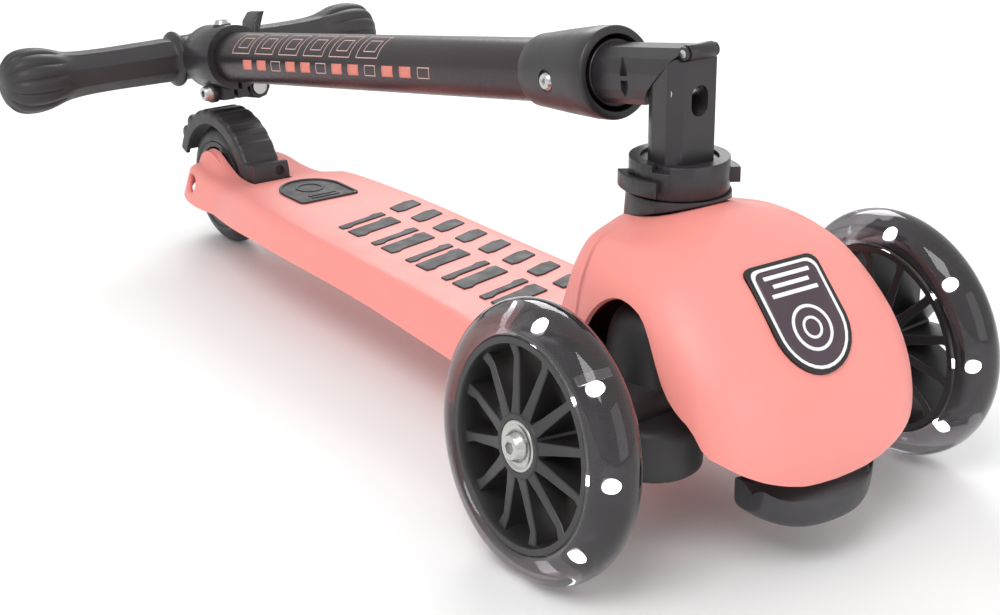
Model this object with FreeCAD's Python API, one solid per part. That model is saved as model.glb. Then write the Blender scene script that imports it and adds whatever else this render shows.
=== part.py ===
"""Three-wheel folding kick scooter for small children, stored with its T-bar folded.

Frame: millimetres, +Z up from the floor, the scooter rolls towards -Y, +X is the
rider's left. The origin is on the floor under the middle of the overall box.
Every sub-part is one STEP file in parts/.
"""
import FreeCAD, Part
import math
import os

V = FreeCAD.Vector
X_AXIS, Y_AXIS, Z_AXIS = V(1, 0, 0), V(0, 1, 0), V(0, 0, 1)

# ---- driving dimensions -------------------------------------------------------------
FRONT_Y = -226.25            # front axle line; lengths "behind" are measured from it
WHEEL_R, TYRE_HALF, RIM_R = 60.0, 12.0, 45.8
TRACK, CAMBER = 206.8, 4.6   # tyre centre to tyre centre, degrees of inward lean
REAR_R, REAR_BEHIND, REAR_HALF = 38.0, 466.0, 9.4
STEM_BEHIND = 36.6           # stem axis behind the front axle
TUBE_R, INNER_R, BAR_R = 15.15, 12.4, 10.0
TUBE_WALL = 1.6
FOLD_SLOPE = 9.53            # folded tube falls towards the rear by this many degrees
HINGE_BEHIND, HINGE_Z = 26.1, 203.0
STEM_TO_HINGE = STEM_BEHIND - HINGE_BEHIND
DECK_TOP, DECK_WALL = 58.0, 3.5
SLOT_HALF, SLOT_FRONT = 13.2, 409.0
STEER_TILT = 40.0            # steering pivot leans forward from upright by this angle
STEER_BEHIND, STEER_Z = 6.0, 72.0
SEAT_REAR = 112.0            # the nose's seat in the deck ends here
BRAKE_PIN_BEHIND, BRAKE_PIN_Z, BRAKE_PIN_R = 416.5, 45.0, 2.5
AXLE_R = 4.0
RUN = 0.06                   # radial clearance of running fits
BAR_TO_GRIP_END = 129.0


def at(x, behind, z):
    """Point given by its distance behind the front axle."""
    return V(x, FRONT_Y + behind, z)


def cyl(r, start, end):
    return Part.makeCylinder(r, (end - start).Length, start, end - start)


def cone(r1, r2, start, end):
    return Part.makeCone(r1, r2, (end - start).Length, start, end - start)


def box(x0, x1, b0, b1, z0, z1):
    """Box from x0 to x1, b0 to b1 behind the front axle, z0 to z1."""
    return Part.makeBox(x1 - x0, b1 - b0, z1 - z0, at(x0, b0, z0))


def fuse(*shapes):
    whole = shapes[0]
    for shape in shapes[1:]:
        whole = whole.fuse(shape)
    return whole.removeSplitter()


def plate_yz(points, x0, x1):
    """Polygon of (behind, z) points, extruded from x0 to x1."""
    wire = Part.makePolygon([at(x0, b, z) for b, z in points + points[:1]])
    return Part.Face(wire).extrude(V(x1 - x0, 0, 0))


def revolve_x(profile):
    """Closed (x, r) profile turned about the X axis through the origin."""
    wire = Part.makePolygon([V(x, 0, r) for x, r in profile + profile[:1]])
    return Part.Face(wire).revolve(V(0, 0, 0), X_AXIS, 360)


def hex_prism(across, start, end):
    """Hexagonal prism, for sockets and nuts."""
    axis = (end - start).normalize()
    side = axis.cross(Z_AXIS if abs(axis.z) < 0.9 else X_AXIS).normalize()
    up = axis.cross(side)
    radius = across / math.sqrt(3)
    corners = []
    for k in range(7):
        turn = math.radians(60 * k)
        corners.append(start + side * (radius * math.cos(turn)) + up * (radius * math.sin(turn)))
    return Part.Face(Part.makePolygon(corners)).extrude((end - start))


def button_bolt(r, head_r, head_h, start, end, socket=4.0):
    """Button-head bolt: shaft from start to end, head beyond end with a hex socket."""
    axis = (end - start).normalize()
    tip = end + axis * head_h
    bolt = cyl(r, start, end).fuse(cone(head_r, head_r * 0.72, end, tip))
    return bolt.cut(hex_prism(socket, tip - axis * head_h * 0.6, tip + axis)).removeSplitter()


def half_turn(shape):
    """The same part on the other side: half a turn about the front axle's centre."""
    other = shape.copy()
    other.rotate(V(0, FRONT_Y, 0), Z_AXIS, 180)
    return other


def mirrored(shape):
    return shape.mirror(V(0, 0, 0), X_AXIS)


parts = {}


# ---- front wheels -------------------------------------------------------------------
def spoked_core(rim_out, rim_in, hub_r, half, spokes, bearing_r):
    """Moulded wheel core: hub, tapered spokes and rim, axle along X."""
    rim = revolve_x([(-half, rim_in), (-half, rim_out), (half, rim_out), (half, rim_in)])
    hub = revolve_x([(-half, bearing_r), (-half, hub_r), (half, hub_r), (half, bearing_r)])
    core = rim.fuse(hub)
    for k in range(spokes):
        wide, thin = 5.2, 3.4
        outline = [V(0, -wide / 2, hub_r - 1), V(0, wide / 2, hub_r - 1),
                   V(0, thin / 2, rim_in + 1), V(0, -thin / 2, rim_in + 1)]
        spoke = Part.Face(Part.makePolygon(outline + outline[:1])).extrude(V(2 * half - 5, 0, 0))
        spoke.translate(V(2.5 - half, 0, 0))
        spoke.rotate(V(0, 0, 0), X_AXIS, 360.0 * k / spokes)
        core = core.fuse(spoke)
    return core.removeSplitter()


def tyre_ring(outer_r, half, seat_r, groove_r, groove_half):
    """Cast tyre: round tread on a flat seat, with a groove inside for the light ring."""
    centre_r = outer_r - half
    seat = [V(-half, 0, centre_r), V(-half + 0.4, 0, seat_r), V(-groove_half, 0, seat_r),
            V(-groove_half, 0, groove_r), V(groove_half, 0, groove_r), V(groove_half, 0, seat_r),
            V(half - 0.4, 0, seat_r), V(half, 0, centre_r)]
    edges = [Part.makeLine(a, b) for a, b in zip(seat, seat[1:])]
    tread = Part.Arc(V(half, 0, centre_r), V(0, 0, outer_r), V(-half, 0, centre_r))
    edges.append(tread.toShape())
    return Part.Face(Part.Wire(edges)).revolve(V(0, 0, 0), X_AXIS, 360)


def light_ring(seat_r, groove_r, count):
    """Dynamo ring on the rim with light blocks standing in the tyre's groove."""
    ring = revolve_x([(-4.5, seat_r), (-4.5, seat_r + 1.2), (4.5, seat_r + 1.2), (4.5, seat_r)])
    for k in range(count):
        block = Part.makeBox(7, 6, groove_r - seat_r - 0.4, V(-3.5, -3, seat_r))
        block.rotate(V(0, 0, 0), X_AXIS, 360.0 * k / count + 15)
        ring = ring.fuse(block)
    return ring.removeSplitter()


def bearing_pair(outer_r, half, bore_r):
    """Two ball bearings with the spacer tube between them."""
    one = [(half - 7, bore_r), (half - 7, outer_r), (half, outer_r), (half, bore_r)]
    two = [(-x, r) for x, r in one]
    spacer = [(7 - half, bore_r), (7 - half, 6.2), (half - 7, 6.2), (half - 7, bore_r)]
    return revolve_x(one).fuse(revolve_x(two)).fuse(revolve_x(spacer)).removeSplitter()


WHEEL_Z = (WHEEL_R - TYRE_HALF) * math.cos(math.radians(CAMBER)) + TYRE_HALF
AXLE_DIR = V(math.cos(math.radians(CAMBER)), 0, math.sin(math.radians(CAMBER)))
WHEEL_CENTRE = at(TRACK / 2, 0, WHEEL_Z)
HUB_HALF, BEARING_R = 11.0, 11.0


def placed(shape):
    """Lean a wheel part by the camber and put it on the left axle."""
    shape.rotate(V(0, 0, 0), Y_AXIS, -CAMBER)
    shape.translate(WHEEL_CENTRE)
    return shape


LEFT_WHEEL = {
    "core": placed(spoked_core(RIM_R, RIM_R - 3.2, 14.0, HUB_HALF, 12, BEARING_R)),
    "tyre": placed(tyre_ring(WHEEL_R, TYRE_HALF, RIM_R, 50.6, 5.5)),
    "lights": placed(light_ring(RIM_R, 50.6, 6)),
    "bearings": placed(bearing_pair(BEARING_R, HUB_HALF, AXLE_R + RUN)),
}
for name, shape in LEFT_WHEEL.items():
    parts[f"front_{name}_left"] = shape
    parts[f"front_{name}_right"] = half_turn(shape)

# ---- front truck --------------------------------------------------------------------
STEER_DIR = V(0, -math.sin(math.radians(STEER_TILT)), math.cos(math.radians(STEER_TILT)))
STEER_BACK = V(0, math.cos(math.radians(STEER_TILT)), math.sin(math.radians(STEER_TILT)))
STEER_POINT = at(0, STEER_BEHIND, STEER_Z)
PIVOT_R, PIVOT_HUB_R, PIVOT_HALF = 5.0, 14.0, 17.0


def loft(sections):
    return Part.makeLoft([Part.makePolygon(s + s[:1]) for s in sections], True, True)


def round_section(x, behind, z, half_y, half_z, corner=0.72, count=12):
    """Rounded-box outline in the plane at x."""
    points = []
    for k in range(count):
        turn = 2 * math.pi * k / count
        c, s = math.cos(turn), math.sin(turn)
        points.append(at(x, behind + half_y * math.copysign(abs(c) ** corner, c),
                         z + half_z * math.copysign(abs(s) ** corner, s)))
    return points


def truck_arm():
    """Left half of the truck: beam, tall lobe with the foot below it, and the axle boss."""
    beam = loft([round_section(4, STEER_BEHIND, 70, 8.5, 8.5), round_section(14, 5, 69, 9, 10),
                 round_section(44, 2, 66, 14, 17),
                 round_section(66, 0, WHEEL_Z - 1, 13, 13), round_section(80, 0, WHEEL_Z - 0.6, 9, 9)])
    lobe = loft([round_section(38, 10, 78, 10, 18), round_section(46, 9, 78, 14, 24),
                 round_section(53, 8, 77, 12, 20)])
    foot = loft([round_section(34, -8, 50, 14, 9), round_section(52, -4, 48, 17, 12),
                 round_section(68, 0, 50, 12, 11)])
    inner = WHEEL_CENTRE - AXLE_DIR * 30
    boss = cyl(7.5, inner, WHEEL_CENTRE - AXLE_DIR * (HUB_HALF + 0.6))
    return fuse(beam, lobe, foot, boss)


pivot_hub = cyl(PIVOT_HUB_R, STEER_POINT - STEER_DIR * PIVOT_HALF, STEER_POINT + STEER_DIR * PIVOT_HALF)
pivot_bore = cyl(PIVOT_R + RUN, STEER_POINT - STEER_DIR * 40, STEER_POINT + STEER_DIR * 40)
bolt_inner = WHEEL_CENTRE - AXLE_DIR * 38
bolt_outer = WHEEL_CENTRE + AXLE_DIR * (HUB_HALF + 0.2)
axle_bolt = button_bolt(AXLE_R, 7.0, 3.6, bolt_inner, bolt_outer, 5.0)
arm = truck_arm().cut(cyl(AXLE_R, bolt_inner - AXLE_DIR, bolt_outer))
parts["truck_body"] = fuse(pivot_hub, arm, mirrored(arm)).cut(pivot_bore)
parts["front_axle_bolt_left"] = axle_bolt
parts["front_axle_bolt_right"] = half_turn(axle_bolt)

# ---- head block inside the nose: carries the steering pin and the stem -----------------
EAR_IN, EAR_OUT = PIVOT_HALF + 0.4, PIVOT_HALF + 8.0


def ear(side):
    """Ear above (side 1) or below (side -1) the truck's hub."""
    return cyl(12.0, STEER_POINT + STEER_DIR * (side * EAR_IN), STEER_POINT + STEER_DIR * (side * EAR_OUT))


def along(point, length_dir, back_dir, half_x, a0, a1, b0, b1):
    """Box of half width half_x, spanning a0..a1 and b0..b1 along two directions."""
    corners = [point + length_dir * a + back_dir * b for a, b in ((a0, b0), (a1, b0), (a1, b1), (a0, b1))]
    corners = [c + V(-half_x, 0, 0) for c in corners]
    return Part.Face(Part.makePolygon(corners + corners[:1])).extrude(V(2 * half_x, 0, 0))


SPINE_NEAR, SPINE_FAR = PIVOT_HUB_R + 2.0, PIVOT_HUB_R + 10.0
spine = along(STEER_POINT, STEER_DIR, STEER_BACK, 9.0, -EAR_OUT, EAR_OUT, SPINE_NEAR, SPINE_FAR)
webs = [along(STEER_POINT, STEER_DIR, STEER_BACK, 9.0, min(side * EAR_IN, side * EAR_OUT),
              max(side * EAR_IN, side * EAR_OUT), 0, SPINE_NEAR + 1) for side in (1, -1)]
head_tube = cyl(19.0, at(0, STEM_BEHIND, 62.5), at(0, STEM_BEHIND, 124.0))
foot_plate = box(-30, 30, 24, 84, DECK_TOP - 0.6, 63.0)
gussets = [box(x - 2, x + 2, 50, 86, 62, 92) for x in (-13, 13)]
wedge = plate_yz([(49, 93), (87, 93), (87, 63)], -20, 20)
parts["head_block"] = fuse(ear(1), ear(-1), spine, *webs, head_tube, foot_plate, *gussets)
hub_room = cyl(PIVOT_HUB_R + 1.0, STEER_POINT - STEER_DIR * EAR_IN, STEER_POINT + STEER_DIR * EAR_IN)
parts["head_block"] = parts["head_block"].cut(wedge).cut(hub_room)
steer_pin = cyl(PIVOT_R, STEER_POINT - STEER_DIR * (EAR_OUT + 2), STEER_POINT + STEER_DIR * (EAR_OUT + 2))
parts["head_block"] = parts["head_block"].cut(steer_pin)
parts["steer_pin"] = steer_pin

# ---- stem post (lower knuckle) -----------------------------------------------------------
POST_HALF, POST_FRONT, POST_REAR = 13.5, 12.0, 14.0
POST_BASE = 100.0


def post_outline(z):
    """D-shaped outline: flat front with chamfered corners, round back."""
    b = STEM_BEHIND
    pts = [at(-9, b - POST_FRONT, z), at(9, b - POST_FRONT, z), at(POST_HALF, b - 6, z),
           at(POST_HALF, b + 3, z)]
    back = Part.Arc(pts[3], at(0, b + POST_REAR, z), at(-POST_HALF, b + 3, z)).toShape()
    last = [at(-POST_HALF, b + 3, z), at(-POST_HALF, b - 6, z), pts[0]]
    edges = [Part.makeLine(p, q) for p, q in zip(pts, pts[1:])] + [back]
    edges += [Part.makeLine(p, q) for p, q in zip(last, last[1:])]
    return Part.Wire(edges)


HINGE = at(0, HINGE_BEHIND, HINGE_Z)
MITRE_GAP = 0.35
post = Part.Face(post_outline(POST_BASE)).extrude(V(0, 0, HINGE_Z + 2.5 - POST_BASE))
mitre_low = plate_yz([(HINGE_BEHIND - 3.2, 206.6), (HINGE_BEHIND + 26, 174.0), (70, 160),
                      (70, 230), (20, 230)], -20, 20)
barrel = cyl(3.6, at(-7, HINGE_BEHIND, HINGE_Z), at(7, HINGE_BEHIND, HINGE_Z))
barrel_room = cyl(3.6 + MITRE_GAP, at(-7.4, HINGE_BEHIND, HINGE_Z), at(7.4, HINGE_BEHIND, HINGE_Z))
window = fuse(box(-4.6, 4.6, 20, 37, 179.6, 184.0), cyl(4.6, at(0, 20, 179.6), at(0, 37, 179.6)),
              cyl(4.6, at(0, 20, 184.0), at(0, 37, 184.0)))
post = post.cut(mitre_low).cut(window)
HINGE_PIN_R, LATCH_R = 1.8, 2.8
hinge_hole = cyl(HINGE_PIN_R, at(-20, HINGE_BEHIND, HINGE_Z), at(20, HINGE_BEHIND, HINGE_Z))
latch_pin = cyl(LATCH_R, at(-12.4, 31.5, 185.6), at(12.4, 31.5, 185.6))
post = fuse(post, barrel).cut(hinge_hole).cut(latch_pin)
head_bore = Part.Face(post_outline(POST_BASE)).extrude(V(0, 0, 30))
parts["head_block"] = parts["head_block"].cut(head_bore)
parts["lower_knuckle"] = post
parts["latch_pin"] = latch_pin
parts["hinge_pin"] = cyl(HINGE_PIN_R, at(-9, HINGE_BEHIND, HINGE_Z), at(9, HINGE_BEHIND, HINGE_Z))

# ---- collar and lock ring ---------------------------------------------------------------
COLLAR_TOP, RING_TOP, RING_R, RING_BORE = 140.2, 155.5, 22.2, 17.2
COLLAR_SLOPE = 0.30
post_hole = Part.Face(post_outline(90)).extrude(V(0, 0, 140))
collar = cone(24.6, 23.2, at(0, STEM_BEHIND, 118), at(0, STEM_BEHIND, COLLAR_TOP))
collar = fuse(collar, cyl(16.8, at(0, STEM_BEHIND, 130), at(0, STEM_BEHIND, RING_TOP - 1.5)))


def under_slope(offset, top=240):
    """Everything above the nose's sloping top face, moved up by offset."""
    low, high = STEM_BEHIND - 90, STEM_BEHIND + 90
    rise = 90 * COLLAR_SLOPE
    pts = [(low, 132 + offset + rise), (high, 132 + offset - rise), (high, top), (low, top)]
    return plate_yz(pts, -90, 90)


parts["stem_collar"] = collar.common(under_slope(0.0)).cut(post_hole)


def lock_ring():
    """Turn ring with a notched top rim and two finger tabs."""
    stem_low, stem_high = at(0, STEM_BEHIND, COLLAR_TOP + 0.4), at(0, STEM_BEHIND, RING_TOP)
    ring = cyl(RING_R, stem_low, stem_high)
    ring = ring.cut(cyl(RING_BORE, stem_low - Z_AXIS, stem_high + Z_AXIS))
    for angle in (-152, 28):
        notch = box(14, 30, STEM_BEHIND - 4, STEM_BEHIND + 4, RING_TOP - 3, RING_TOP + 2)
        notch.rotate(stem_low, Z_AXIS, angle)
        ring = ring.cut(notch)
    for start, sweep in ((146, 62), (-34, 62)):
        tab = cyl(27.0, at(0, STEM_BEHIND, 142.5), at(0, STEM_BEHIND, 149.5))
        tab = tab.cut(cyl(24.2, at(0, STEM_BEHIND, 140), at(0, STEM_BEHIND, 160)))
        root = cyl(24.4, at(0, STEM_BEHIND, 142.5), at(0, STEM_BEHIND, 149.5))
        root = root.cut(cyl(RING_R - 1, at(0, STEM_BEHIND, 140), at(0, STEM_BEHIND, 160)))
        for piece, span in ((tab, sweep), (root, 14)):
            sector = Part.makeCylinder(40, 30, at(0, STEM_BEHIND, 135), Z_AXIS, span)
            sector.rotate(stem_low, Z_AXIS, start)
            ring = ring.fuse(piece.common(sector))
    return ring.removeSplitter()


parts["lock_ring"] = lock_ring()

# ---- T-bar, all built along the folded tube ----------------------------------------------
slope = math.radians(FOLD_SLOPE)
TUBE_DIR = V(0, math.cos(slope), -math.sin(slope))
TUBE_UNDER = V(0, -math.sin(slope), -math.cos(slope))
AXIS_START = HINGE + TUBE_UNDER * STEM_TO_HINGE


def on_tube(distance, under=0.0, x=0.0):
    """Point along the tube, measured from beside the hinge; under is below the axis."""
    return AXIS_START + TUBE_DIR * distance + TUBE_UNDER * under + V(x, 0, 0)


TUBE_FROM, TUBE_TO = 57.6, 441.0
SLEEVE_FROM, SLEEVE_TO, SLEEVE_GUIDE = 57.4, 111.0, 14.0
SLEEVE_BIG_R, SLEEVE_SMALL_R, SLEEVE_BORE = 21.3, 17.5, 17.0
COLLAR_FROM, COLLAR_TO = 431.5, 465.5
BAR_AT = 487.3


def tube_prism(points, d0, d1):
    """Cross-section polygon of (x, under) points, run along the tube from d0 to d1."""
    corners = [on_tube(d0, under, x) for x, under in points + points[:1]]
    return Part.Face(Part.makePolygon(corners)).extrude(TUBE_DIR * (d1 - d0))


knuckle_section = [(-7.6, -12.8), (7.6, -12.8), (12.0, -8.6), (13.6, -2), (13.6, 5), (11.2, 9.3),
                   (7.5, 12.4), (-7.5, 12.4), (-11.2, 9.3), (-13.6, 5), (-13.6, -2), (-12.0, -8.6)]
knuckle = tube_prism(knuckle_section, -12, TUBE_FROM)
keep_upper = plate_yz([(HINGE_BEHIND - 3.2 + 0.3, 206.6 + 0.4), (HINGE_BEHIND + 26 + 0.4, 174.0 + 0.3),
                       (80, 110), (110, 110), (110, 240), (HINGE_BEHIND - 3, 240)], -20, 20)
knuckle = knuckle.common(keep_upper)
lugs = [cyl(3.0, at(s * 7.5, HINGE_BEHIND, HINGE_Z), at(s * 9.0, HINGE_BEHIND, HINGE_Z)) for s in (-1, 1)]
plug = cyl(TUBE_R - TUBE_WALL, on_tube(TUBE_FROM - 2), on_tube(TUBE_FROM + 40))
knuckle = fuse(knuckle, plug).cut(barrel_room)
WINDOW_FROM = 33.0
windows = []
for low, high in ((-9.5, -1.0), (1.0, 9.5)):
    pocket = [(-20, low), (-11.5, low), (-11.5, high), (-20, high)]
    windows.append(tube_prism(pocket, WINDOW_FROM, WINDOW_FROM + 5))
    windows.append(tube_prism([(-x, u) for x, u in pocket], WINDOW_FROM, WINDOW_FROM + 5))
for pocket in windows:
    knuckle = knuckle.cut(pocket)
pin_run = cyl(HINGE_PIN_R + RUN, at(-20, HINGE_BEHIND, HINGE_Z), at(20, HINGE_BEHIND, HINGE_Z))
parts["upper_knuckle"] = fuse(knuckle, *lugs).cut(pin_run)
for s in (-1, 1):
    lug_room = cyl(3.5, at(s * 7.0, HINGE_BEHIND, HINGE_Z), at(s * 14, HINGE_BEHIND, HINGE_Z))
    parts["lower_knuckle"] = parts["lower_knuckle"].cut(lug_room)

tube = cyl(TUBE_R, on_tube(TUBE_FROM), on_tube(TUBE_TO))
parts["outer_tube"] = tube.cut(cyl(TUBE_R - TUBE_WALL, on_tube(TUBE_FROM - 1), on_tube(TUBE_TO + 1)))

# sliding sleeve over the hinge: wide mouth towards the hinge, guide bore on the tube
SLEEVE_MOUTH, SLEEVE_BOLT_AT = 9.0, 86.0
sleeve = cone(SLEEVE_BIG_R, SLEEVE_SMALL_R, on_tube(SLEEVE_FROM + SLEEVE_MOUTH), on_tube(SLEEVE_TO - 1.5))
sleeve = fuse(cyl(SLEEVE_BIG_R, on_tube(SLEEVE_FROM), on_tube(SLEEVE_FROM + SLEEVE_MOUTH)), sleeve,
              cyl(SLEEVE_SMALL_R, on_tube(SLEEVE_TO - 1.5), on_tube(SLEEVE_TO)))
sleeve = sleeve.cut(cyl(SLEEVE_BORE, on_tube(SLEEVE_FROM - 1), on_tube(SLEEVE_TO - SLEEVE_GUIDE)))
sleeve = sleeve.cut(cyl(TUBE_R + 0.1, on_tube(SLEEVE_FROM), on_tube(SLEEVE_TO + 1)))
recess = cyl(5.4, on_tube(SLEEVE_BOLT_AT, 2.0, -18.2), on_tube(SLEEVE_BOLT_AT, 2.0, -24))
sleeve_bolt = button_bolt(2.4, 4.6, 1.9, on_tube(SLEEVE_BOLT_AT, 2.0, -17.3),
                          on_tube(SLEEVE_BOLT_AT, 2.0, -18.3), 3.0)
parts["sleeve"] = sleeve.cut(recess).cut(sleeve_bolt)
parts["sleeve_bolt"] = sleeve_bolt

# ---- height clamp -------------------------------------------------------------------------
CLAMP_R = 19.6
clamp = cyl(CLAMP_R, on_tube(COLLAR_FROM), on_tube(COLLAR_TO))
ears = tube_prism([(-8.5, 12), (8.5, 12), (8.5, 25.5), (-8.5, 25.5)], COLLAR_FROM + 7, COLLAR_TO - 5)
clamp = fuse(clamp, ears)
clamp = clamp.cut(cyl(TUBE_R, on_tube(COLLAR_FROM - 1), on_tube(TUBE_TO)))
clamp = clamp.cut(cyl(INNER_R + 0.1, on_tube(TUBE_TO - 1), on_tube(COLLAR_TO + 1)))
clamp = clamp.cut(tube_prism([(-1.2, 5), (1.2, 5), (1.2, 30), (-1.2, 30)], COLLAR_FROM - 1, COLLAR_TO + 1))
CLAMP_BOLT_AT, CLAMP_BOLT_UNDER = 449.0, 20.6
washer_seat = cyl(6.6, on_tube(CLAMP_BOLT_AT, CLAMP_BOLT_UNDER, -8.5),
                  on_tube(CLAMP_BOLT_AT, CLAMP_BOLT_UNDER, -30))
cam_seat = cyl(9.4, on_tube(COLLAR_FROM - 1, CLAMP_BOLT_UNDER, 17.6),
               on_tube(COLLAR_TO + 1, CLAMP_BOLT_UNDER, 17.6))
clamp = clamp.cut(washer_seat).cut(cam_seat)
clamp_shaft_in = on_tube(CLAMP_BOLT_AT, CLAMP_BOLT_UNDER, 18.0)
clamp_shaft_out = on_tube(CLAMP_BOLT_AT, CLAMP_BOLT_UNDER, -12.6)
clamp_bolt = button_bolt(2.9, 5.6, 4.6, clamp_shaft_in, clamp_shaft_out, 4.0)
washer = cyl(6.2, on_tube(CLAMP_BOLT_AT, CLAMP_BOLT_UNDER, -12.6),
             on_tube(CLAMP_BOLT_AT, CLAMP_BOLT_UNDER, -8.5))
washer = washer.cut(cyl(2.9, clamp_shaft_out, clamp_shaft_in))
cam_pin = cyl(4.6, on_tube(CLAMP_BOLT_AT - 10.5, CLAMP_BOLT_UNDER, 17.0),
              on_tube(CLAMP_BOLT_AT + 10.5, CLAMP_BOLT_UNDER, 17.0))
parts["clamp_collar"] = clamp.cut(cyl(2.9, clamp_shaft_out - X_AXIS * 10, clamp_shaft_in + X_AXIS * 10))
parts["clamp_washer"] = washer
parts["clamp_bolt"] = fuse(clamp_bolt, cam_pin)
top_screw = button_bolt(2.0, 4.6, 2.6, on_tube(446, -16.5), on_tube(446, -20.2), 3.0)
top_pad = cyl(5.6, on_tube(446, -17), on_tube(446, -20.2)).cut(cyl(17, on_tube(430), on_tube(460)))
screw_hole = cyl(2.0, on_tube(446, -10), on_tube(446, -22))
parts["clamp_collar"] = fuse(parts["clamp_collar"], top_pad).cut(screw_hole)
top_screw = top_screw.cut(cyl(TUBE_R + 0.1, on_tube(430), on_tube(462)))
parts["clamp_screw"] = top_screw

lever_profile = [(13.4, 27.0), (21.5, 27.5), (25.0, 22.0), (25.0, 6.0), (24.6, -8.0), (27.5, -20.0),
                 (33.0, -27.5), (29.5, -28.5), (23.6, -21.0), (20.6, -8.0), (20.6, 13.5), (11.0, 14.5),
                 (10.0, 21.0)]
CAM_R, SHAFT_ROOM = 4.6, 3.4
lever = tube_prism(lever_profile, CLAMP_BOLT_AT - 9, CLAMP_BOLT_AT + 9)
cam_hole = cyl(CAM_R + RUN, on_tube(CLAMP_BOLT_AT - 30, CLAMP_BOLT_UNDER, 17.0),
               on_tube(CLAMP_BOLT_AT + 30, CLAMP_BOLT_UNDER, 17.0))
shaft_slot = [(-5, 16.8), (8, 16.8), (22.5, 13), (22.5, 24), (30, 30), (30, 34), (8, 34), (8, 24.4),
              (-5, 24.4)]
shaft_room = tube_prism(shaft_slot, CLAMP_BOLT_AT - SHAFT_ROOM, CLAMP_BOLT_AT + SHAFT_ROOM)
parts["clamp_lever"] = lever.cut(cam_hole).cut(shaft_room)

# ---- handlebar ------------------------------------------------------------------------------
TEE_HALF = 12.4
inner = cyl(INNER_R, on_tube(300), on_tube(BAR_AT - BAR_R - 1))
parts["inner_tube"] = inner.cut(cyl(INNER_R - 1.5, on_tube(299), on_tube(BAR_AT)))
bar_low, bar_high = on_tube(BAR_AT, 0, -118), on_tube(BAR_AT, 0, 118)
tee = fuse(cyl(14.0, on_tube(BAR_AT, 0, -TEE_HALF), on_tube(BAR_AT, 0, TEE_HALF)),
           cyl(14.6, on_tube(BAR_AT - 20), on_tube(BAR_AT)))
tee = tee.cut(cyl(BAR_R, bar_low, bar_high)).cut(cyl(INNER_R, on_tube(400), on_tube(BAR_AT - BAR_R - 1)))
for side in (-1, 1):
    flange_room = cyl(18.0, on_tube(BAR_AT, 0, side * (TEE_HALF + 0.2)), on_tube(BAR_AT, 0, side * 30.0))
    tee = tee.cut(flange_room)
parts["handlebar_tee"] = tee
bar_bore = cyl(BAR_R - 1.5, bar_low - X_AXIS, bar_high + X_AXIS)
parts["handlebar_tube"] = cyl(BAR_R, bar_low, bar_high).cut(bar_bore)


def grip(side):
    """Moulded grip: inner flange, slim body and a fluted bulb at the end."""
    profile = [(12.8, BAR_R), (12.8, 16.4), (14.4, 17.4), (16.4, 17.0), (18.5, 14.0), (58.0, 13.4),
               (88.0, 14.4), (96.0, 17.0), (104.0, 19.4), (111.0, 20.0), (119.0, 19.0), (125.0, 15.5),
               (128.4, 9.0), (BAR_TO_GRIP_END, 4.0), (BAR_TO_GRIP_END, 0.0), (118.2, 0.0), (118.2, BAR_R)]
    corners = [on_tube(BAR_AT, -r, x * side) for x, r in profile]
    body = Part.Face(Part.makePolygon(corners + corners[:1])).revolve(on_tube(BAR_AT), X_AXIS, 360)
    for k in range(12):
        groove = cyl(1.5, on_tube(BAR_AT, -20.6, 98 * side), on_tube(BAR_AT, -20.6, 124 * side))
        groove.rotate(on_tube(BAR_AT), X_AXIS, 30 * k)
        body = body.cut(groove)
    return body.removeSplitter()


parts["grip_left"] = grip(1)
parts["grip_right"] = grip(-1)

# ---- deck -------------------------------------------------------------------------------------
# rows of (behind, half width) of the top's edge; the skirt flares out by DECK_FLARE below it
DECK_HALF = [(28, 50.0), (60, 54.0), (100, 52.5), (150, 49.0), (230, 47.5), (310, 45.5), (350, 44.0),
             (385, 41.0), (420, 35.5), (455, 31.0)]
DECK_END, DECK_FLARE, SKIRT_Z, CHEEK_Z = 474.0, 6.0, 34.0, 66.0
# side view of the top: flat, a dip in front of the wheel, then the cheeks beside it
TOP_LINE = [(28, 58), (384, 58), (398, 55.4), (410, 53.2), (421, 53.6), (431, 56.4), (441, 60.2), (451, 62.4),
            (459, 62.2), (466, 59.8), (471, 54.5), (474, 48)]
UNDER_EDGE = [(490, 0), (490, 39), (474, 38), (450, 35.5), (420, 36.5), (390, 38.5), (340, 43), (280, 44.5),
              (220, 43), (170, 39.5), (130, 37.5), (-10, 37.5), (-10, 0)]


def deck_outline(z, grow):
    """Closed plan outline of the deck at height z, grown sideways by grow."""
    left = [at(half + grow, b, z) for b, half in DECK_HALF]
    side, other = Part.BSplineCurve(), Part.BSplineCurve()
    side.interpolate(left)
    other.interpolate([V(-p.x, p.y, z) for p in reversed(left)])
    end_left, end_right = left[-1], V(-left[-1].x, left[-1].y, z)
    tail = Part.Arc(end_left, at(0, DECK_END + min(grow, 0), z), end_right)
    front = Part.makeLine(V(-left[0].x, left[0].y, z), left[0])
    return Part.Wire([side.toShape(), tail.toShape(), other.toShape(), front])


def deck_body(grow, drop, start):
    """Solid under the top line, with its sides moved in by grow and its top lowered by drop."""
    low, high = deck_outline(SKIRT_Z - 4, DECK_FLARE + 1.0 - grow), deck_outline(CHEEK_Z, -2.0 - grow)
    sides = Part.makeLoft([low, high], True, True)
    line = [(max(b, start), z - drop) for b, z in TOP_LINE] + [(DECK_END, 20), (start, 20)]
    return sides.common(plate_yz(line, -90, 90))


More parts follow.
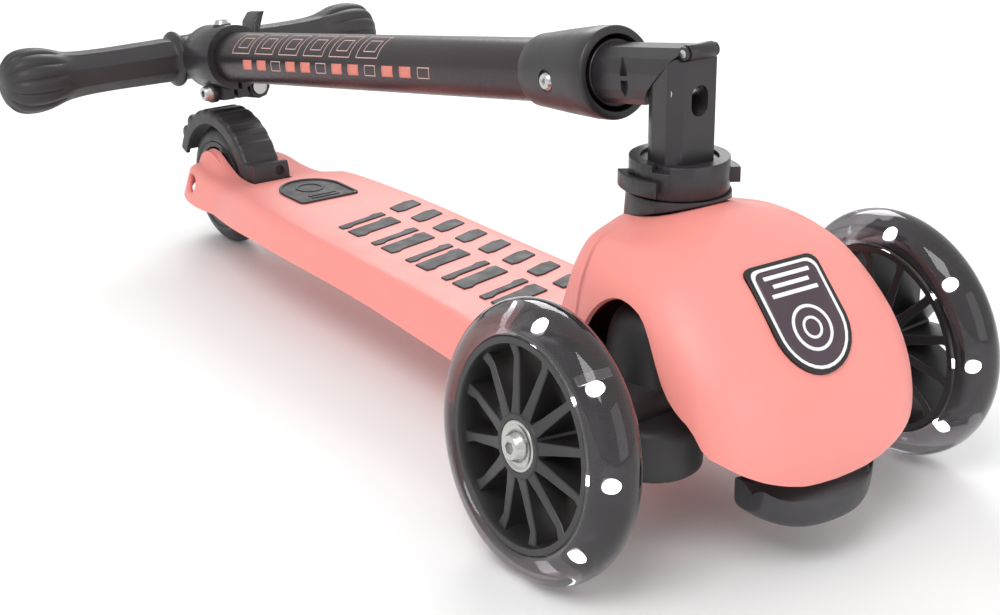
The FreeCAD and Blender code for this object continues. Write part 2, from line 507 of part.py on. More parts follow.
outer = deck_body(0, 0, 28)
cavity = deck_body(DECK_WALL, DECK_WALL, 33).cut(box(-90, 90, SLOT_FRONT - 4, 500, 0, 120))
RIB_HALF = 1.2
RIB_TOP = DECK_TOP - 1
deck_ribs = [box(x - RIB_HALF, x + RIB_HALF, 30, SLOT_FRONT - 1, 39, RIB_TOP) for x in (-30, -10, 10, 30)]
deck_ribs += [box(-60, 60, b - RIB_HALF, b + RIB_HALF, 44.5, RIB_TOP) for b in range(60, 400, 42)]
deck_ribs = fuse(*deck_ribs).common(outer)
# hollow in each cheek, with a round hole through which the axle's head is reached
CHEEK_WALL = 5.5
cheek_room = box(SLOT_HALF + CHEEK_WALL, 90, 430, DECK_END - 5, 0, 90)
cheek_pocket = deck_body(DECK_WALL, DECK_WALL + 1, 430).common(cheek_room)
head_hole = cyl(7.4, at(SLOT_HALF + CHEEK_WALL, REAR_BEHIND, REAR_R), at(70, REAR_BEHIND, REAR_R))
axle_hole = cyl(AXLE_R, at(0, REAR_BEHIND, REAR_R), at(40, REAR_BEHIND, REAR_R))
deck = fuse(outer.cut(cavity), deck_ribs)
for hollow in (cheek_pocket, head_hole, axle_hole):
    deck = deck.cut(hollow).cut(mirrored(hollow))
deck = deck.cut(box(-SLOT_HALF, SLOT_HALF, SLOT_FRONT, 520, 0, 120))
deck = deck.cut(plate_yz(UNDER_EDGE, -90, 90))
brake_pin = cyl(BRAKE_PIN_R, at(-19, BRAKE_PIN_BEHIND, BRAKE_PIN_Z), at(19, BRAKE_PIN_BEHIND, BRAKE_PIN_Z))
# the hood and the head block stand in a shallow seat in the top
SEAT_Z = DECK_TOP - 0.6
parts["deck"] = deck.cut(brake_pin).cut(box(-90, 90, 20, SEAT_REAR, SEAT_Z, 90))
parts["brake_pin"] = brake_pin

# ---- rear wheel ---------------------------------------------------------------------------------
rear_parts = {
    "rear_core": spoked_core(27.0, 24.0, 13.6, REAR_HALF - 0.4, 6, BEARING_R),
    "rear_tyre": tyre_ring(REAR_R, REAR_HALF, 27.0, 27.4, 3.0),
    "rear_bearings": bearing_pair(BEARING_R, REAR_HALF - 0.4, AXLE_R + RUN),
}
for name, shape in rear_parts.items():
    shape.translate(at(0, REAR_BEHIND, REAR_R))
    parts[name] = shape
HEAD_AT = SLOT_HALF + CHEEK_WALL
axle_rod = cyl(AXLE_R, at(-HEAD_AT, REAR_BEHIND, REAR_R), at(HEAD_AT + 4, REAR_BEHIND, REAR_R))
axle_nut = hex_prism(11.0, at(HEAD_AT, REAR_BEHIND, REAR_R), at(HEAD_AT + 4, REAR_BEHIND, REAR_R))
axle_head = cyl(6.5, at(-HEAD_AT - 3.5, REAR_BEHIND, REAR_R), at(-HEAD_AT, REAR_BEHIND, REAR_R))
parts["rear_axle"] = fuse(axle_rod, axle_nut, axle_head)
spacer = cyl(6.4, at(REAR_HALF - 0.2, REAR_BEHIND, REAR_R), at(SLOT_HALF, REAR_BEHIND, REAR_R))
spacer = spacer.cut(cyl(AXLE_R, at(0, REAR_BEHIND, REAR_R), at(30, REAR_BEHIND, REAR_R)))
parts["rear_spacers"] = Part.makeCompound([spacer, mirrored(spacer)])

# ---- brake ----------------------------------------------------------------------------------------
BRAKE_OUT_R, BRAKE_IN_R, SKIRT_R, BRAKE_HALF, BRAKE_IN_HALF = 48.6, 42.0, 39.6, 12.4, 10.2
BRAKE_CENTRE = (466.0, 36.9)


def disc(centre, r, x0, x1):
    return cyl(r, at(x0, centre[0], centre[1]), at(x1, centre[0], centre[1]))


rear_axle_at = (REAR_BEHIND, REAR_R)
arch = disc(BRAKE_CENTRE, BRAKE_OUT_R, -BRAKE_HALF, BRAKE_HALF)
sector = plate_yz([(REAR_BEHIND, REAR_R), (REAR_BEHIND + 60, REAR_R + 34), (REAR_BEHIND + 60, 140),
                   (390, 140), (390, 55), (REAR_BEHIND, 40)], -30, 30)
arch = arch.common(sector)
foot = plate_yz([(411.2, 41), (421.5, 41), (423.5, 56), (421, 61), (414.6, 61), (411.4, 52)],
                -BRAKE_HALF, BRAKE_HALF)
brake = fuse(arch, foot)
for degrees in (38, 51):
    turn = math.radians(degrees)
    rib_at = (BRAKE_CENTRE[0] + (BRAKE_OUT_R - 0.6) * math.cos(turn),
              BRAKE_CENTRE[1] + (BRAKE_OUT_R - 0.6) * math.sin(turn))
    brake = brake.fuse(disc(rib_at, 3.2, 1.0 - BRAKE_HALF, BRAKE_HALF - 1.0))
brake = brake.cut(disc(rear_axle_at, BRAKE_IN_R, -BRAKE_IN_HALF, BRAKE_IN_HALF))
brake = brake.cut(disc(rear_axle_at, SKIRT_R, -30, 30))
notch = cyl(2.8, at(5.5, 400, 55.5), at(5.5, 414.5, 55.5))
pin_run = cyl(BRAKE_PIN_R + RUN, at(-30, BRAKE_PIN_BEHIND, BRAKE_PIN_Z),
              at(30, BRAKE_PIN_BEHIND, BRAKE_PIN_Z))
parts["brake_fender"] = brake.cut(notch).cut(pin_run).removeSplitter()

# ---- nose shell -----------------------------------------------------------------------------------
NOSE_REAR_FROM = 31.5
# rows of (z, half width, front, rear), lengths behind the front axle
NOSE = [(30, 58, -66, 96), (36, 61, -67, 102), (46, 65, -68.5, 110), (58, 66.5, -68, 110),
        (72, 66.5, -65, 89), (85, 66.4, -59.5, 75), (97.5, 65, -51, 69), (104, 63, -45.5, 67),
        (110.5, 61, -40, 65.5), (116, 59, -34.5, 64), (122.5, 53, -28, 62), (127, 47, -20, 61),
        (131, 34, -12, 60.5), (136.5, 27, 2, 60), (142, 22, 14, 58)]
NOSE_MIDDLE, NOSE_WALL, NOSE_POINTS = 14.0, 3.0, 32


def nose_section(z, half, front, rear, shrink):
    """Plan outline of the nose at height z: boxy in front of the middle, round behind it."""
    boxy = 0.42 + 0.55 * min(max((z - 85) / 45, 0), 1)
    points = []
    for k in range(NOSE_POINTS):
        turn = 2 * math.pi * k / NOSE_POINTS
        c, s = math.cos(turn), math.sin(turn)
        power = boxy if s < 0 else 0.96
        reach = (NOSE_MIDDLE - front if s < 0 else rear - NOSE_MIDDLE) - shrink
        points.append(at((half - shrink) * math.copysign(abs(c) ** power, c),
                         NOSE_MIDDLE + reach * math.copysign(abs(s) ** power, s), z))
    return points


def nose_loft(shrink, drop):
    return loft([nose_section(z - drop, half, front, rear, shrink) for z, half, front, rear in NOSE])


nose = nose_loft(0, 0).cut(nose_loft(NOSE_WALL, NOSE_WALL)).cut(under_slope(0.0))
nose = nose.cut(box(-90, 90, NOSE_REAR_FROM, 160, 0, SEAT_Z + 0.02))
front_curve = cyl(97.0, at(0, -100, 133), at(0, -40, 133))
nose = nose.cut(box(-90, 90, -100, -40, 0, 62).cut(front_curve))
# side arch that the truck's arm comes out through
ARCH = [(NOSE_REAR_FROM, -20), (31, 50), (29, 75), (24, 96), (14, 108), (4, 111.5), (-8, 109), (-18, 101),
        (-24, 91), (-33, 79.5), (-46, 70), (-58, 62), (-60, 30), (-58, -20)]
for side in (-1, 1):
    nose = nose.cut(plate_yz(ARCH, side * 33.0, side * 90.0))
nose = nose.cut(box(-90, 90, -46, NOSE_REAR_FROM, 0, 45))
nose = nose.cut(cyl(22.0, at(0, STEM_BEHIND, 100), at(0, STEM_BEHIND, 150)))
parts["nose_shell"] = max(nose.Solids, key=lambda solid: solid.Volume)


# ---- rubber bumper under the nose -------------------------------------------------------------------
def bumper_section(x):
    """Profile of the rubber foot at x: it curls back and up towards its ends."""
    back, lift = 13.0 * (x / 39.0) ** 2, 5.0 * (x / 39.0) ** 4
    profile = [(-73.5, 30), (-72, 23), (-66, 19), (-54, 18.5), (-44, 22), (-39, 30), (-41, 40), (-60, 40),
               (-62, 35.5), (-72.5, 35.5)]
    return [at(x, min(b + back, -38 + 0.02 * b), z + lift * (z < 34)) for b, z in profile]


parts["front_bumper"] = loft([bumper_section(x) for x in (-39, -32, -22, -10, 10, 22, 32, 39)])

# ---- badges and grip pads -------------------------------------------------------------------------
PAD_DEPTH = 1.2


def shield(half, top, bottom):
    """Shield outline as (across, along) points: flat top, round bottom."""
    points = [(-half, top), (half, top)]
    for k in range(9):
        turn = math.pi * k / 8
        points.append((half * math.cos(turn), (bottom + half * 0.9) - half * 0.9 * math.sin(turn)))
    return points


def shield_prism(points, centre, along_dir, normal, low, high):
    corners = [centre + X_AXIS * x + along_dir * u + normal * low for x, u in points]
    return Part.Face(Part.makePolygon(corners + corners[:1])).extrude(normal * (high - low))


BADGE_UP = V(0, 0.681, 0.732)
BADGE_OUT = V(0, -0.732, 0.681)
badge_centre = at(0, -45.0, 106.0)
outer_shield = shield_prism(shield(18.5, 23.5, -23.5), badge_centre, BADGE_UP, BADGE_OUT, -14, 8)
rim_shield = shield_prism(shield(17.0, 22.0, -22.0), badge_centre, BADGE_UP, BADGE_OUT, -14, 8)
face_shield = shield_prism(shield(15.6, 20.6, -20.6), badge_centre, BADGE_UP, BADGE_OUT, -14, 8)
badge_skin = nose_loft(-1.6, 0).cut(nose_loft(0, 0))
rim_skin = nose_loft(-2.1, 0).cut(nose_loft(-1.6, 0))
parts["nose_badge"] = outer_shield.common(badge_skin)
parts["nose_badge_rim"] = rim_shield.cut(face_shield).common(rim_skin)
deck_badge_centre = at(0, 362, DECK_TOP)
parts["deck_badge"] = shield_prism(shield(18.5, 20, -20), deck_badge_centre, -Y_AXIS, Z_AXIS, -PAD_DEPTH, 0)


def grip_bar(x0, x1, behind, width, slant):
    """Slanted anti-slip bar from x0 to x1 across the deck."""
    corners = [at(x0, behind, DECK_TOP), at(x1, behind + slant, DECK_TOP),
               at(x1, behind + slant + width, DECK_TOP), at(x0, behind + width, DECK_TOP)]
    return Part.Face(Part.makePolygon(corners + corners[:1])).extrude(V(0, 0, -PAD_DEPTH))


bars = [grip_bar(-22, 10, 138 + 34 * k, 20, 10) for k in range(5)]
bars += [grip_bar(16, 34, 142 + 22 * k, 13, 6) for k in range(8)]
parts["grip_pads"] = Part.makeCompound(bars)
for inlay in bars + [parts["deck_badge"]]:
    parts["deck"] = parts["deck"].cut(inlay)

# ---- write -----------------------------------------------------------------------------------------
os.makedirs("parts", exist_ok=True)
for name, shape in parts.items():
    if not shape.isValid() or not shape.Solids:
        raise ValueError(f"{name} is not a valid solid")
    shape.exportStep(f"parts/{name}.step")
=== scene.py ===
"""Studio model of a folded three-wheel kick scooter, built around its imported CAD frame.

Metres, +Z up from the floor, the scooter rolls towards -Y and +X is the rider's left.
"""
import bmesh
import bpy
import math
from mathutils import Matrix, Vector
from mathutils.bvhtree import BVHTree


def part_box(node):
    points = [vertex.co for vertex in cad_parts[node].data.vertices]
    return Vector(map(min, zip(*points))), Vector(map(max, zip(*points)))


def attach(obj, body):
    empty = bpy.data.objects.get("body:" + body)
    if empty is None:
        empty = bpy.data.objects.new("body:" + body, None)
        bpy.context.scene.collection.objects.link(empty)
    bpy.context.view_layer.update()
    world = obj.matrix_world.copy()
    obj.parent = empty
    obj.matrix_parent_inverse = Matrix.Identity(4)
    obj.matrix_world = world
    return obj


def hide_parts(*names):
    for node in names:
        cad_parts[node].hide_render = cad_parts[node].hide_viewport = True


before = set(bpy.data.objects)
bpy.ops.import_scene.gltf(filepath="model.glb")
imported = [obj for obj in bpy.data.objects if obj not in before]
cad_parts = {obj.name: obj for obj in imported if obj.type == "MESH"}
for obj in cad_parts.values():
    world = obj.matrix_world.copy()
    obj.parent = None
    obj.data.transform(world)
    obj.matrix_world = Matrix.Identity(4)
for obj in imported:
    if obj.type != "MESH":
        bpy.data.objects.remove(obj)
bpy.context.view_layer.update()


# ---- Stage ----------------------------------------------------------------------------
# A pale seamless studio floor under a bright soft sky, one large soft key lamp from the
# upper left, a rim lamp behind and a low fill, and a camera that looks down at the nose.
def new_material(name, colour, roughness):
    """A node material: returns the material, its node tree and its shader."""
    material = bpy.data.materials.new(name)
    material.use_nodes = True
    shader = material.node_tree.nodes["Principled BSDF"]
    shader.inputs["Base Color"].default_value = (*colour, 1)
    shader.inputs["Roughness"].default_value = roughness
    return material, material.node_tree, shader


def noise(tree, scale, detail=3.0, roughness=0.5):
    """Noise laid through the object's own space."""
    place = tree.nodes.new("ShaderNodeTexCoord")
    texture = tree.nodes.new("ShaderNodeTexNoise")
    texture.inputs["Scale"].default_value = scale
    texture.inputs["Detail"].default_value = detail
    texture.inputs["Roughness"].default_value = roughness
    tree.links.new(place.outputs["Object"], texture.inputs["Vector"])
    return texture.outputs["Fac"]


def vary(tree, source, target, low, high):
    """Spreads a noise over low..high and feeds it to a shader input."""
    spread = tree.nodes.new("ShaderNodeMapRange")
    spread.inputs["From Min"].default_value = 0.3
    spread.inputs["From Max"].default_value = 0.7
    spread.inputs["To Min"].default_value = low
    spread.inputs["To Max"].default_value = high
    tree.links.new(source, spread.inputs["Value"])
    tree.links.new(spread.outputs["Result"], target)


def tint(tree, source, target, dark, light):
    """Blends two colours by a noise and feeds the result to a colour input."""
    blend = tree.nodes.new("ShaderNodeMix")
    blend.data_type = "RGBA"
    blend.inputs["A"].default_value = (*dark, 1)
    blend.inputs["B"].default_value = (*light, 1)
    tree.links.new(source, blend.inputs["Factor"])
    tree.links.new(blend.outputs["Result"], target)


def emboss(tree, shader, source, strength, distance):
    """Bump from a height pattern; distance is in metres."""
    bump = tree.nodes.new("ShaderNodeBump")
    bump.inputs["Strength"].default_value = strength
    bump.inputs["Distance"].default_value = distance
    tree.links.new(source, bump.inputs["Height"])
    tree.links.new(bump.outputs["Normal"], shader.inputs["Normal"])


def studio_floor():
    material, tree, shader = new_material("studio_floor", (0.9, 0.9, 0.9), 0.6)
    tint(tree, noise(tree, 1.2), shader.inputs["Base Color"], (0.89, 0.89, 0.89), (0.91, 0.91, 0.91))
    mesh = bpy.data.meshes.new("floor")
    half = 8.0
    mesh.from_pydata([(-half, -half, 0), (half, -half, 0), (half, half, 0), (-half, half, 0)], [],
                     [(0, 1, 2, 3)])
    floor = bpy.data.objects.new("floor", mesh)
    bpy.context.scene.collection.objects.link(floor)
    mesh.materials.append(material)


def lamp(name, place, aim, size, watts, colour=(1, 1, 1)):
    light = bpy.data.lights.new(name, "AREA")
    light.size = size
    light.energy = watts
    light.color = colour
    stand = bpy.data.objects.new(name, light)
    stand.location = place
    stand.rotation_euler = (Vector(aim) - Vector(place)).to_track_quat("-Z", "Y").to_euler()
    bpy.context.scene.collection.objects.link(stand)


def studio_sky(strength):
    world = bpy.data.worlds.new("studio_sky")
    world.use_nodes = True
    bpy.context.scene.world = world
    world.node_tree.nodes["Background"].inputs["Color"].default_value = (1, 1, 1, 1)
    world.node_tree.nodes["Background"].inputs["Strength"].default_value = strength


def studio_camera(azimuth, elevation, roll, distance, aim, focal, shift):
    """Camera on a sphere about aim: azimuth from -Y towards +X, elevation above the floor."""
    az, el, tilt = (math.radians(angle) for angle in (azimuth, elevation, roll))
    back = Vector((math.sin(az) * math.cos(el), -math.cos(az) * math.cos(el), math.sin(el)))
    level = Vector((math.cos(az), math.sin(az), 0))
    right = level * math.cos(tilt) + back.cross(level) * math.sin(tilt)
    up = back.cross(right)
    lens = bpy.data.cameras.new("camera")
    lens.sensor_width = 36
    lens.lens = focal
    lens.shift_x = shift
    camera = bpy.data.objects.new("camera", lens)
    camera.matrix_world = Matrix.Translation(Vector(aim) + back * distance) @ Matrix(
        (right, up, back)).transposed().to_4x4()
    bpy.context.scene.collection.objects.link(camera)
    bpy.context.scene.camera = camera


bpy.context.scene.view_settings.view_transform = "Standard"
studio_floor()
studio_sky(0.78)
lamp("key", (-1.3, -0.9, 2.0), (0, 0, 0.1), 1.2, 26)
lamp("rim", (1.0, 1.4, 1.3), (0, 0, 0.1), 1.0, 16)
lamp("fill", (0.3, -2.4, 0.9), (0, -0.1, 0.1), 1.6, 7)
studio_camera(-35.02, 20.76, -0.44, 0.96617, (0, -0.0469, 0.0405), 67.49, 0.0073)


# ---- Deck -----------------------------------------------------------------------------
# The standing board is one injection moulding in coral plastic: a flat top with a soft
# shoulder, a thin skirt that flares outwards, and two cheeks behind the foot area that
# rise beside the rear wheel. Ribs stiffen it from below.
MM = 0.001
FRONT_AXLE_Y = (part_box("front_core_left")[0].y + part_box("front_core_left")[1].y) / 2
DECK_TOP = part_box("grip_pads")[1].z
CORAL_DEEP, CORAL = (0.88, 0.27, 0.235), (0.92, 0.335, 0.305)


def spot(x, behind, z):
    """Point from millimetres: x, distance behind the front axle, height."""
    return Vector((x * MM, FRONT_AXLE_Y + behind * MM, z * MM))


def coral_plastic():
    material, tree, shader = new_material("coral_plastic", CORAL, 0.42)
    cloudy = noise(tree, 9.0, 2.0)
    tint(tree, cloudy, shader.inputs["Base Color"], CORAL_DEEP, CORAL)
    vary(tree, noise(tree, 60.0, 4.0), shader.inputs["Roughness"], 0.38, 0.48)
    emboss(tree, shader, noise(tree, 2600.0, 2.0), 0.12, 0.0002)
    shader.inputs["Subsurface Weight"].default_value = 0.08
    shader.inputs["Subsurface Radius"].default_value = (0.006, 0.003, 0.002)
    shader.inputs["Subsurface Scale"].default_value = 1.0
    shader.inputs["Specular IOR Level"].default_value = 0.45
    return material


def smooth_step(value, low, high):
    share = min(max((value - low) / (high - low), 0.0), 1.0)
    return share * share * (3 - 2 * share)


def follow(points, at):
    """Height of a smooth line through (along, height) points at a place along it."""
    for k in range(len(points) - 1):
        if at <= points[k + 1][0] or k == len(points) - 2:
            break
    (x0, y0), (x1, y1) = points[k], points[k + 1]
    before = points[max(k - 1, 0)]
    after = points[min(k + 2, len(points) - 1)]
    span = x1 - x0
    slope0 = (y1 - before[1]) / max(x1 - before[0], 1e-9)
    slope1 = (after[1] - y0) / max(after[0] - x0, 1e-9)
    t = min(max((at - x0) / span, 0), 1)
    h00, h10 = 2 * t ** 3 - 3 * t ** 2 + 1, t ** 3 - 2 * t ** 2 + t
    h01, h11 = -2 * t ** 3 + 3 * t ** 2, t ** 3 - t ** 2
    return h00 * y0 + h10 * span * slope0 + h01 * y1 + h11 * span * slope1


def piece_from(name, vertices, faces, material, smooth=True):
    mesh = bpy.data.meshes.new(name)
    mesh.from_pydata([tuple(v) for v in vertices], [], faces)
    mesh.validate()
    piece = bpy.data.objects.new(name, mesh)
    bpy.context.scene.collection.objects.link(piece)
    mesh.materials.append(material)
    outward(mesh)
    if smooth:
        mesh.shade_smooth()
    return piece


def outward(mesh):
    work = bmesh.new()
    work.from_mesh(mesh)
    bmesh.ops.remove_doubles(work, verts=work.verts, dist=1e-6)
    bmesh.ops.recalc_face_normals(work, faces=work.faces)
    work.to_mesh(mesh)
    work.free()


def skin(name, rings, material, closed=True, caps=True, loop=False):
    """Piece from a grid of points: each ring is a row; closed joins a ring's two ends."""
    vertices = [p for ring in rings for p in ring]
    count = len(rings[0])
    faces = []
    rows = len(rings)
    for r in range(rows if loop else rows - 1):
        for c in range(count if closed else count - 1):
            a, b = r * count + c, r * count + (c + 1) % count
            n = ((r + 1) % rows) * count
            faces.append((a, b, n + (c + 1) % count, n + c))
    if caps and not loop:
        faces.append(tuple(range(count - 1, -1, -1)))
        faces.append(tuple(range((rows - 1) * count, rows * count)))
    return piece_from(name, vertices, faces, material)


def bevelled(piece, width, segments=3, angle=35):
    """Rounds a piece's sharp edges and keeps its flat faces flat-looking."""
    bevel = piece.modifiers.new("soft_edges", "BEVEL")
    bevel.width = width
    bevel.segments = segments
    bevel.limit_method = "ANGLE"
    bevel.angle_limit = math.radians(angle)
    bevel.harden_normals = True
    return piece


def carved(piece, *cutters):
    """Cuts the cutters out of the piece for good."""
    for cutter in cutters:
        cut = piece.modifiers.new("cut", "BOOLEAN")
        cut.object = cutter
        cut.solver = "EXACT"
    bpy.context.view_layer.update()
    result = bpy.data.meshes.new_from_object(piece.evaluated_get(bpy.context.evaluated_depsgraph_get()))
    piece.modifiers.clear()
    piece.data = result
    for cutter in cutters:
        bpy.data.objects.remove(cutter)
    return piece


def placed(piece, body, finish, *nodes):
    """Rides a piece on its body, standing for its CAD nodes, which it hides; the finish argument is not
    used.
    """
    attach(piece, body)
    if nodes:
        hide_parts(*nodes)
    return piece


DECK_HALF = [(28, 50.0), (60, 54.0), (100, 52.5), (150, 48.8), (230, 47.4), (310, 47.2), (350, 45.0),
             (376, 42.7), (400, 38.8), (415, 35.8), (440, 34.8), (455, 33.0), (468, 28.0), (476, 20.7)]
SKIRT_EDGE = [(28, 37.5), (130, 37.5), (170, 38.5), (220, 41.0), (280, 42.0), (340, 41.5), (400, 38.5),
              (440, 35.5), (476, 37.0)]
CHEEK_TOP = [(28, 58), (384, 58), (398, 55.4), (410, 52.6), (421, 52.0), (430, 53.0), (441, 57.2),
             (451, 62.0), (459, 63.4), (466, 61.6), (472, 56), (476, 48)]
DECK_EDGE = [(28, 58), (384, 58), (398, 55.4), (410, 53.2), (435, 53.2), (455, 55.5), (466, 54.5),
             (476, 47.5)]
WHEEL_SLOT_HALF, WHEEL_SLOT_FRONT, DECK_REAR = 13.2, 409.0, 476.0
SHOULDER, SHOULDER_DROP, FLARE, DECK_WALL = 8.0, 4.8, 5.0, 3.2


def deck_half(behind):
    return follow(DECK_HALF, behind)


def deck_row(behind, inset):
    """Half cross-section from the middle of the top, over the shoulder and down the skirt."""
    half = deck_half(behind) - inset * 0.9
    top, edge = (follow(line, behind) - inset for line in (CHEEK_TOP, DECK_EDGE))
    low = follow(SKIRT_EDGE, behind)
    row = [(0, top), (WHEEL_SLOT_HALF * 0.6, top), (WHEEL_SLOT_HALF, top)]
    shoulder = min(SHOULDER, (half - WHEEL_SLOT_HALF) * 0.6)
    flat_end = half - shoulder
    for share in (0.06, 0.3, 0.55, 0.8, 1.0):
        x = WHEEL_SLOT_HALF + (flat_end - WHEEL_SLOT_HALF) * share
        row.append((x, top + (edge - top) * smooth_step(x, WHEEL_SLOT_HALF + 1, flat_end)))
    for k in range(1, 6):
        turn = math.radians(13 * k)
        row.append((flat_end + shoulder * math.sin(turn), edge - SHOULDER_DROP * (1 - math.cos(turn))))
    side, start = row[-1]
    for share in (0.25, 0.5, 0.75, 0.92, 1.0):
        row.append((side + FLARE * share, start + (low - start) * share))
    return [spot(x, behind, z) for x, z in row]


def deck_shell(material):
    """Outer skin and inner skin, joined round the rim and down the wheel slot."""
    lengths = [28 + 9 * k for k in range(42)] + [401, 404.5, WHEEL_SLOT_FRONT - 1.5, WHEEL_SLOT_FRONT]
    lengths += [WHEEL_SLOT_FRONT + 3 + 3 * k for k in range(20)] + [471, 473, 475, DECK_REAR]
    outer = [deck_row(b, 0) for b in lengths]
    inner = [deck_row(b, DECK_WALL) for b in lengths]
    count = len(outer[0])
    vertices, faces = [], []
    for side in (1, -1):
        for skin_rows in (outer, inner):
            vertices += [Vector((p.x * side, p.y, p.z)) for row in skin_rows for p in row]
    block = len(lengths) * count
    for s in range(2):
        for i in range(2):
            start = (2 * s + i) * block
            for r in range(len(lengths) - 1):
                for c in range(count - 1):
                    if lengths[r] >= WHEEL_SLOT_FRONT and c < 2:
                        continue
                    a = start + r * count + c
                    faces.append((a, a + 1, a + count + 1, a + count))
        first, second = 2 * s * block, (2 * s + 1) * block
        for r in range(len(lengths) - 1):
            rim = r * count + count - 1
            faces.append((first + rim, first + rim + count, second + rim + count, second + rim))
            if lengths[r] >= WHEEL_SLOT_FRONT:
                lip = r * count + 2
                faces.append((first + lip, first + lip + count, second + lip + count, second + lip))
        for row, columns in ((len(lengths) - 1, range(2, count - 1)), (0, range(count - 1)),
                             (lengths.index(WHEEL_SLOT_FRONT), range(2))):
            for c in columns:
                a = row * count + c
                faces.append((first + a, first + a + 1, second + a + 1, second + a))
    piece = piece_from("deck_shell", vertices, faces, material)
    return bevelled(piece, 0.9 * MM, 3, 50)


def cheek_wall(side, material):
    """Upright wall between the wheel slot and the hollow rear of a cheek."""
    outline = [(409, 40)] + [(b, follow(CHEEK_TOP, b) - 0.8) for b in range(409, 472, 4)]
    outline += [(472.5, 54), (474, 48), (473.5, 42), (469, 37.6), (456, 36), (436, 37), (416, 39)]
    rings = [[spot(side * x, b, z) for b, z in outline] for x in (WHEEL_SLOT_HALF, WHEEL_SLOT_HALF + 5.5)]
    piece = skin(f"cheek_wall_{'left' if side > 0 else 'right'}", rings, material)
    return bevelled(piece, 1.0 * MM, 3)


coral = coral_plastic()


def strap_hole(side):
    """Round hole for a carrying strap through the rear of one side."""
    rings = []
    for x in (side * 22, side * 60):
        turns = [2 * math.pi * k / 48 for k in range(48)]
        rings.append([spot(x, 453 + 7.4 * math.cos(t), 46.5 + 5.6 * math.sin(t)) for t in turns])
    return skin("strap_hole", rings, coral)


deck = placed(carved(deck_shell(coral), strap_hole(1), strap_hole(-1)), "chassis", "coral", "deck")
for side in (1, -1):
    placed(cheek_wall(side, coral), "chassis", "coral")


def deck_rib(number, corners, height_top, height_low, material):
    """Thin stiffening rib standing under the deck's top."""
    rings = [[spot(x, b, z) for x, b in corners] for z in (height_low, height_top)]
    return bevelled(skin(f"deck_rib_{number}", rings, material), 0.3 * MM, 2)


rib_number = 0
for x in (-30, -10, 10, 30):
    strip = [(x - 1.2, 36), (x + 1.2, 36), (x + 1.2, 404), (x - 1.2, 404)]
    placed(deck_rib(rib_number, strip, 51.5, 44, coral), "chassis", "coral")
    rib_number += 1
for behind in range(60, 400, 42):
    half = deck_half(behind) - 7
    strip = [(-half, behind - 1.2), (half, behind - 1.2), (half, behind + 1.2), (-half, behind + 1.2)]
    placed(deck_rib(rib_number, strip, 54.5 if behind < 380 else 51, 45, coral), "chassis", "coral")
    rib_number += 1


# ---- Anti-slip pads and deck badge ------------------------------------------------------
# Dark thermoplastic rubber, moulded a little proud of the deck: two rows of slanted bars
# for the foot, and a small shield badge with a raised rim and ring in front of the wheel.
def soft_rubber(name="deck_rubber", colour=(0.030, 0.027, 0.030), roughness=0.55, grain=900.0):
    material, tree, shader = new_material(name, colour, roughness)
    lighter = tuple(min(c * 1.5, 1) for c in colour)
    tint(tree, noise(tree, 35.0, 4.0), shader.inputs["Base Color"], colour, lighter)
    vary(tree, noise(tree, 120.0), shader.inputs["Roughness"], roughness - 0.08, roughness + 0.08)
    emboss(tree, shader, noise(tree, grain, 3.0), 0.25, 0.0003)
    return material


def slab(name, outline, low, high, material, width=0.4, place=None):
    """Flat plate from an (across, along) outline in millimetres with softened edges."""
    place = place or Matrix.Identity(4)
    rings = [[place @ Vector((x * MM, y * MM, z * MM)) for x, y in outline] for z in (low, high)]
    return bevelled(skin(name, rings, material), width * MM, 3)


def shield_outline(half, top, bottom, corner=3.0):
    """Shield: straight top with round corners, sides that run down into a round foot."""
    points = []
    for k in range(5):
        turn = math.radians(90 - 22.5 * k)
        points.append((half - corner + corner * math.cos(turn), top - corner + corner * math.sin(turn)))
    foot = half * 1.05
    for k in range(17):
        turn = math.pi * k / 16
        points.append((half * math.cos(turn), bottom + foot - foot * math.sin(turn)))
    for k in range(5):
        turn = math.radians(180 - 22.5 * k)
        points.append((corner - half + corner * math.cos(turn), top - corner + corner * math.sin(turn)))
    return points


def flat_ring(name, outer_r, inner_r, low, high, material, place, steps=40):
    """Low round ring lying on a face."""
    rings = []
    for radius, height in ((outer_r, low), (outer_r, high), (inner_r, high), (inner_r, low)):
        rings.append([place @ Vector((radius * MM * math.cos(t), radius * MM * math.sin(t), height * MM))
                      for t in (2 * math.pi * k / steps for k in range(steps))])
    return bevelled(skin(name, rings, material, caps=False, loop=True), 0.2 * MM, 2)


def joined(name, pieces):
    """Several meshes made one piece, keeping each one's material and bevel."""
    bpy.context.view_layer.update()
    depsgraph = bpy.context.evaluated_depsgraph_get()
    work = bmesh.new()
    materials = []
    for piece in pieces:
        mesh = bpy.data.meshes.new_from_object(piece.evaluated_get(depsgraph))
        for old in mesh.materials:
            if old not in materials:
                materials.append(old)
        index = [materials.index(old) for old in mesh.materials]
        mesh.transform(piece.matrix_world)
        for face in mesh.polygons:
            face.material_index = index[face.material_index]
        work.from_mesh(mesh)
    whole = bpy.data.meshes.new(name)
    work.to_mesh(whole)
    work.free()
    for material in materials:
        whole.materials.append(material)
    for piece in pieces:
        bpy.data.objects.remove(piece)
    result = bpy.data.objects.new(name, whole)
    bpy.context.scene.collection.objects.link(result)
    return result


def foot_pad(number, x0, x1, behind, width, slant):
    """One bar: straight ends, a slanted body and a small step like a moulded dash."""
    outline = [(x0, behind), (x0 + 5, behind), (x0 + 9, behind + slant * 0.3), (x1, behind + slant),
               (x1, behind + slant + width), (x1 - 6, behind + slant + width),
               (x1 - 10, behind + slant * 0.7 + width), (x0, behind + width)]
    place = Matrix.Translation(Vector((0, FRONT_AXLE_Y, 0)))
    top = DECK_TOP / MM
    return slab(f"pad_{number}", outline, top - 0.2, top + 1.1, rubber, 0.45, place)


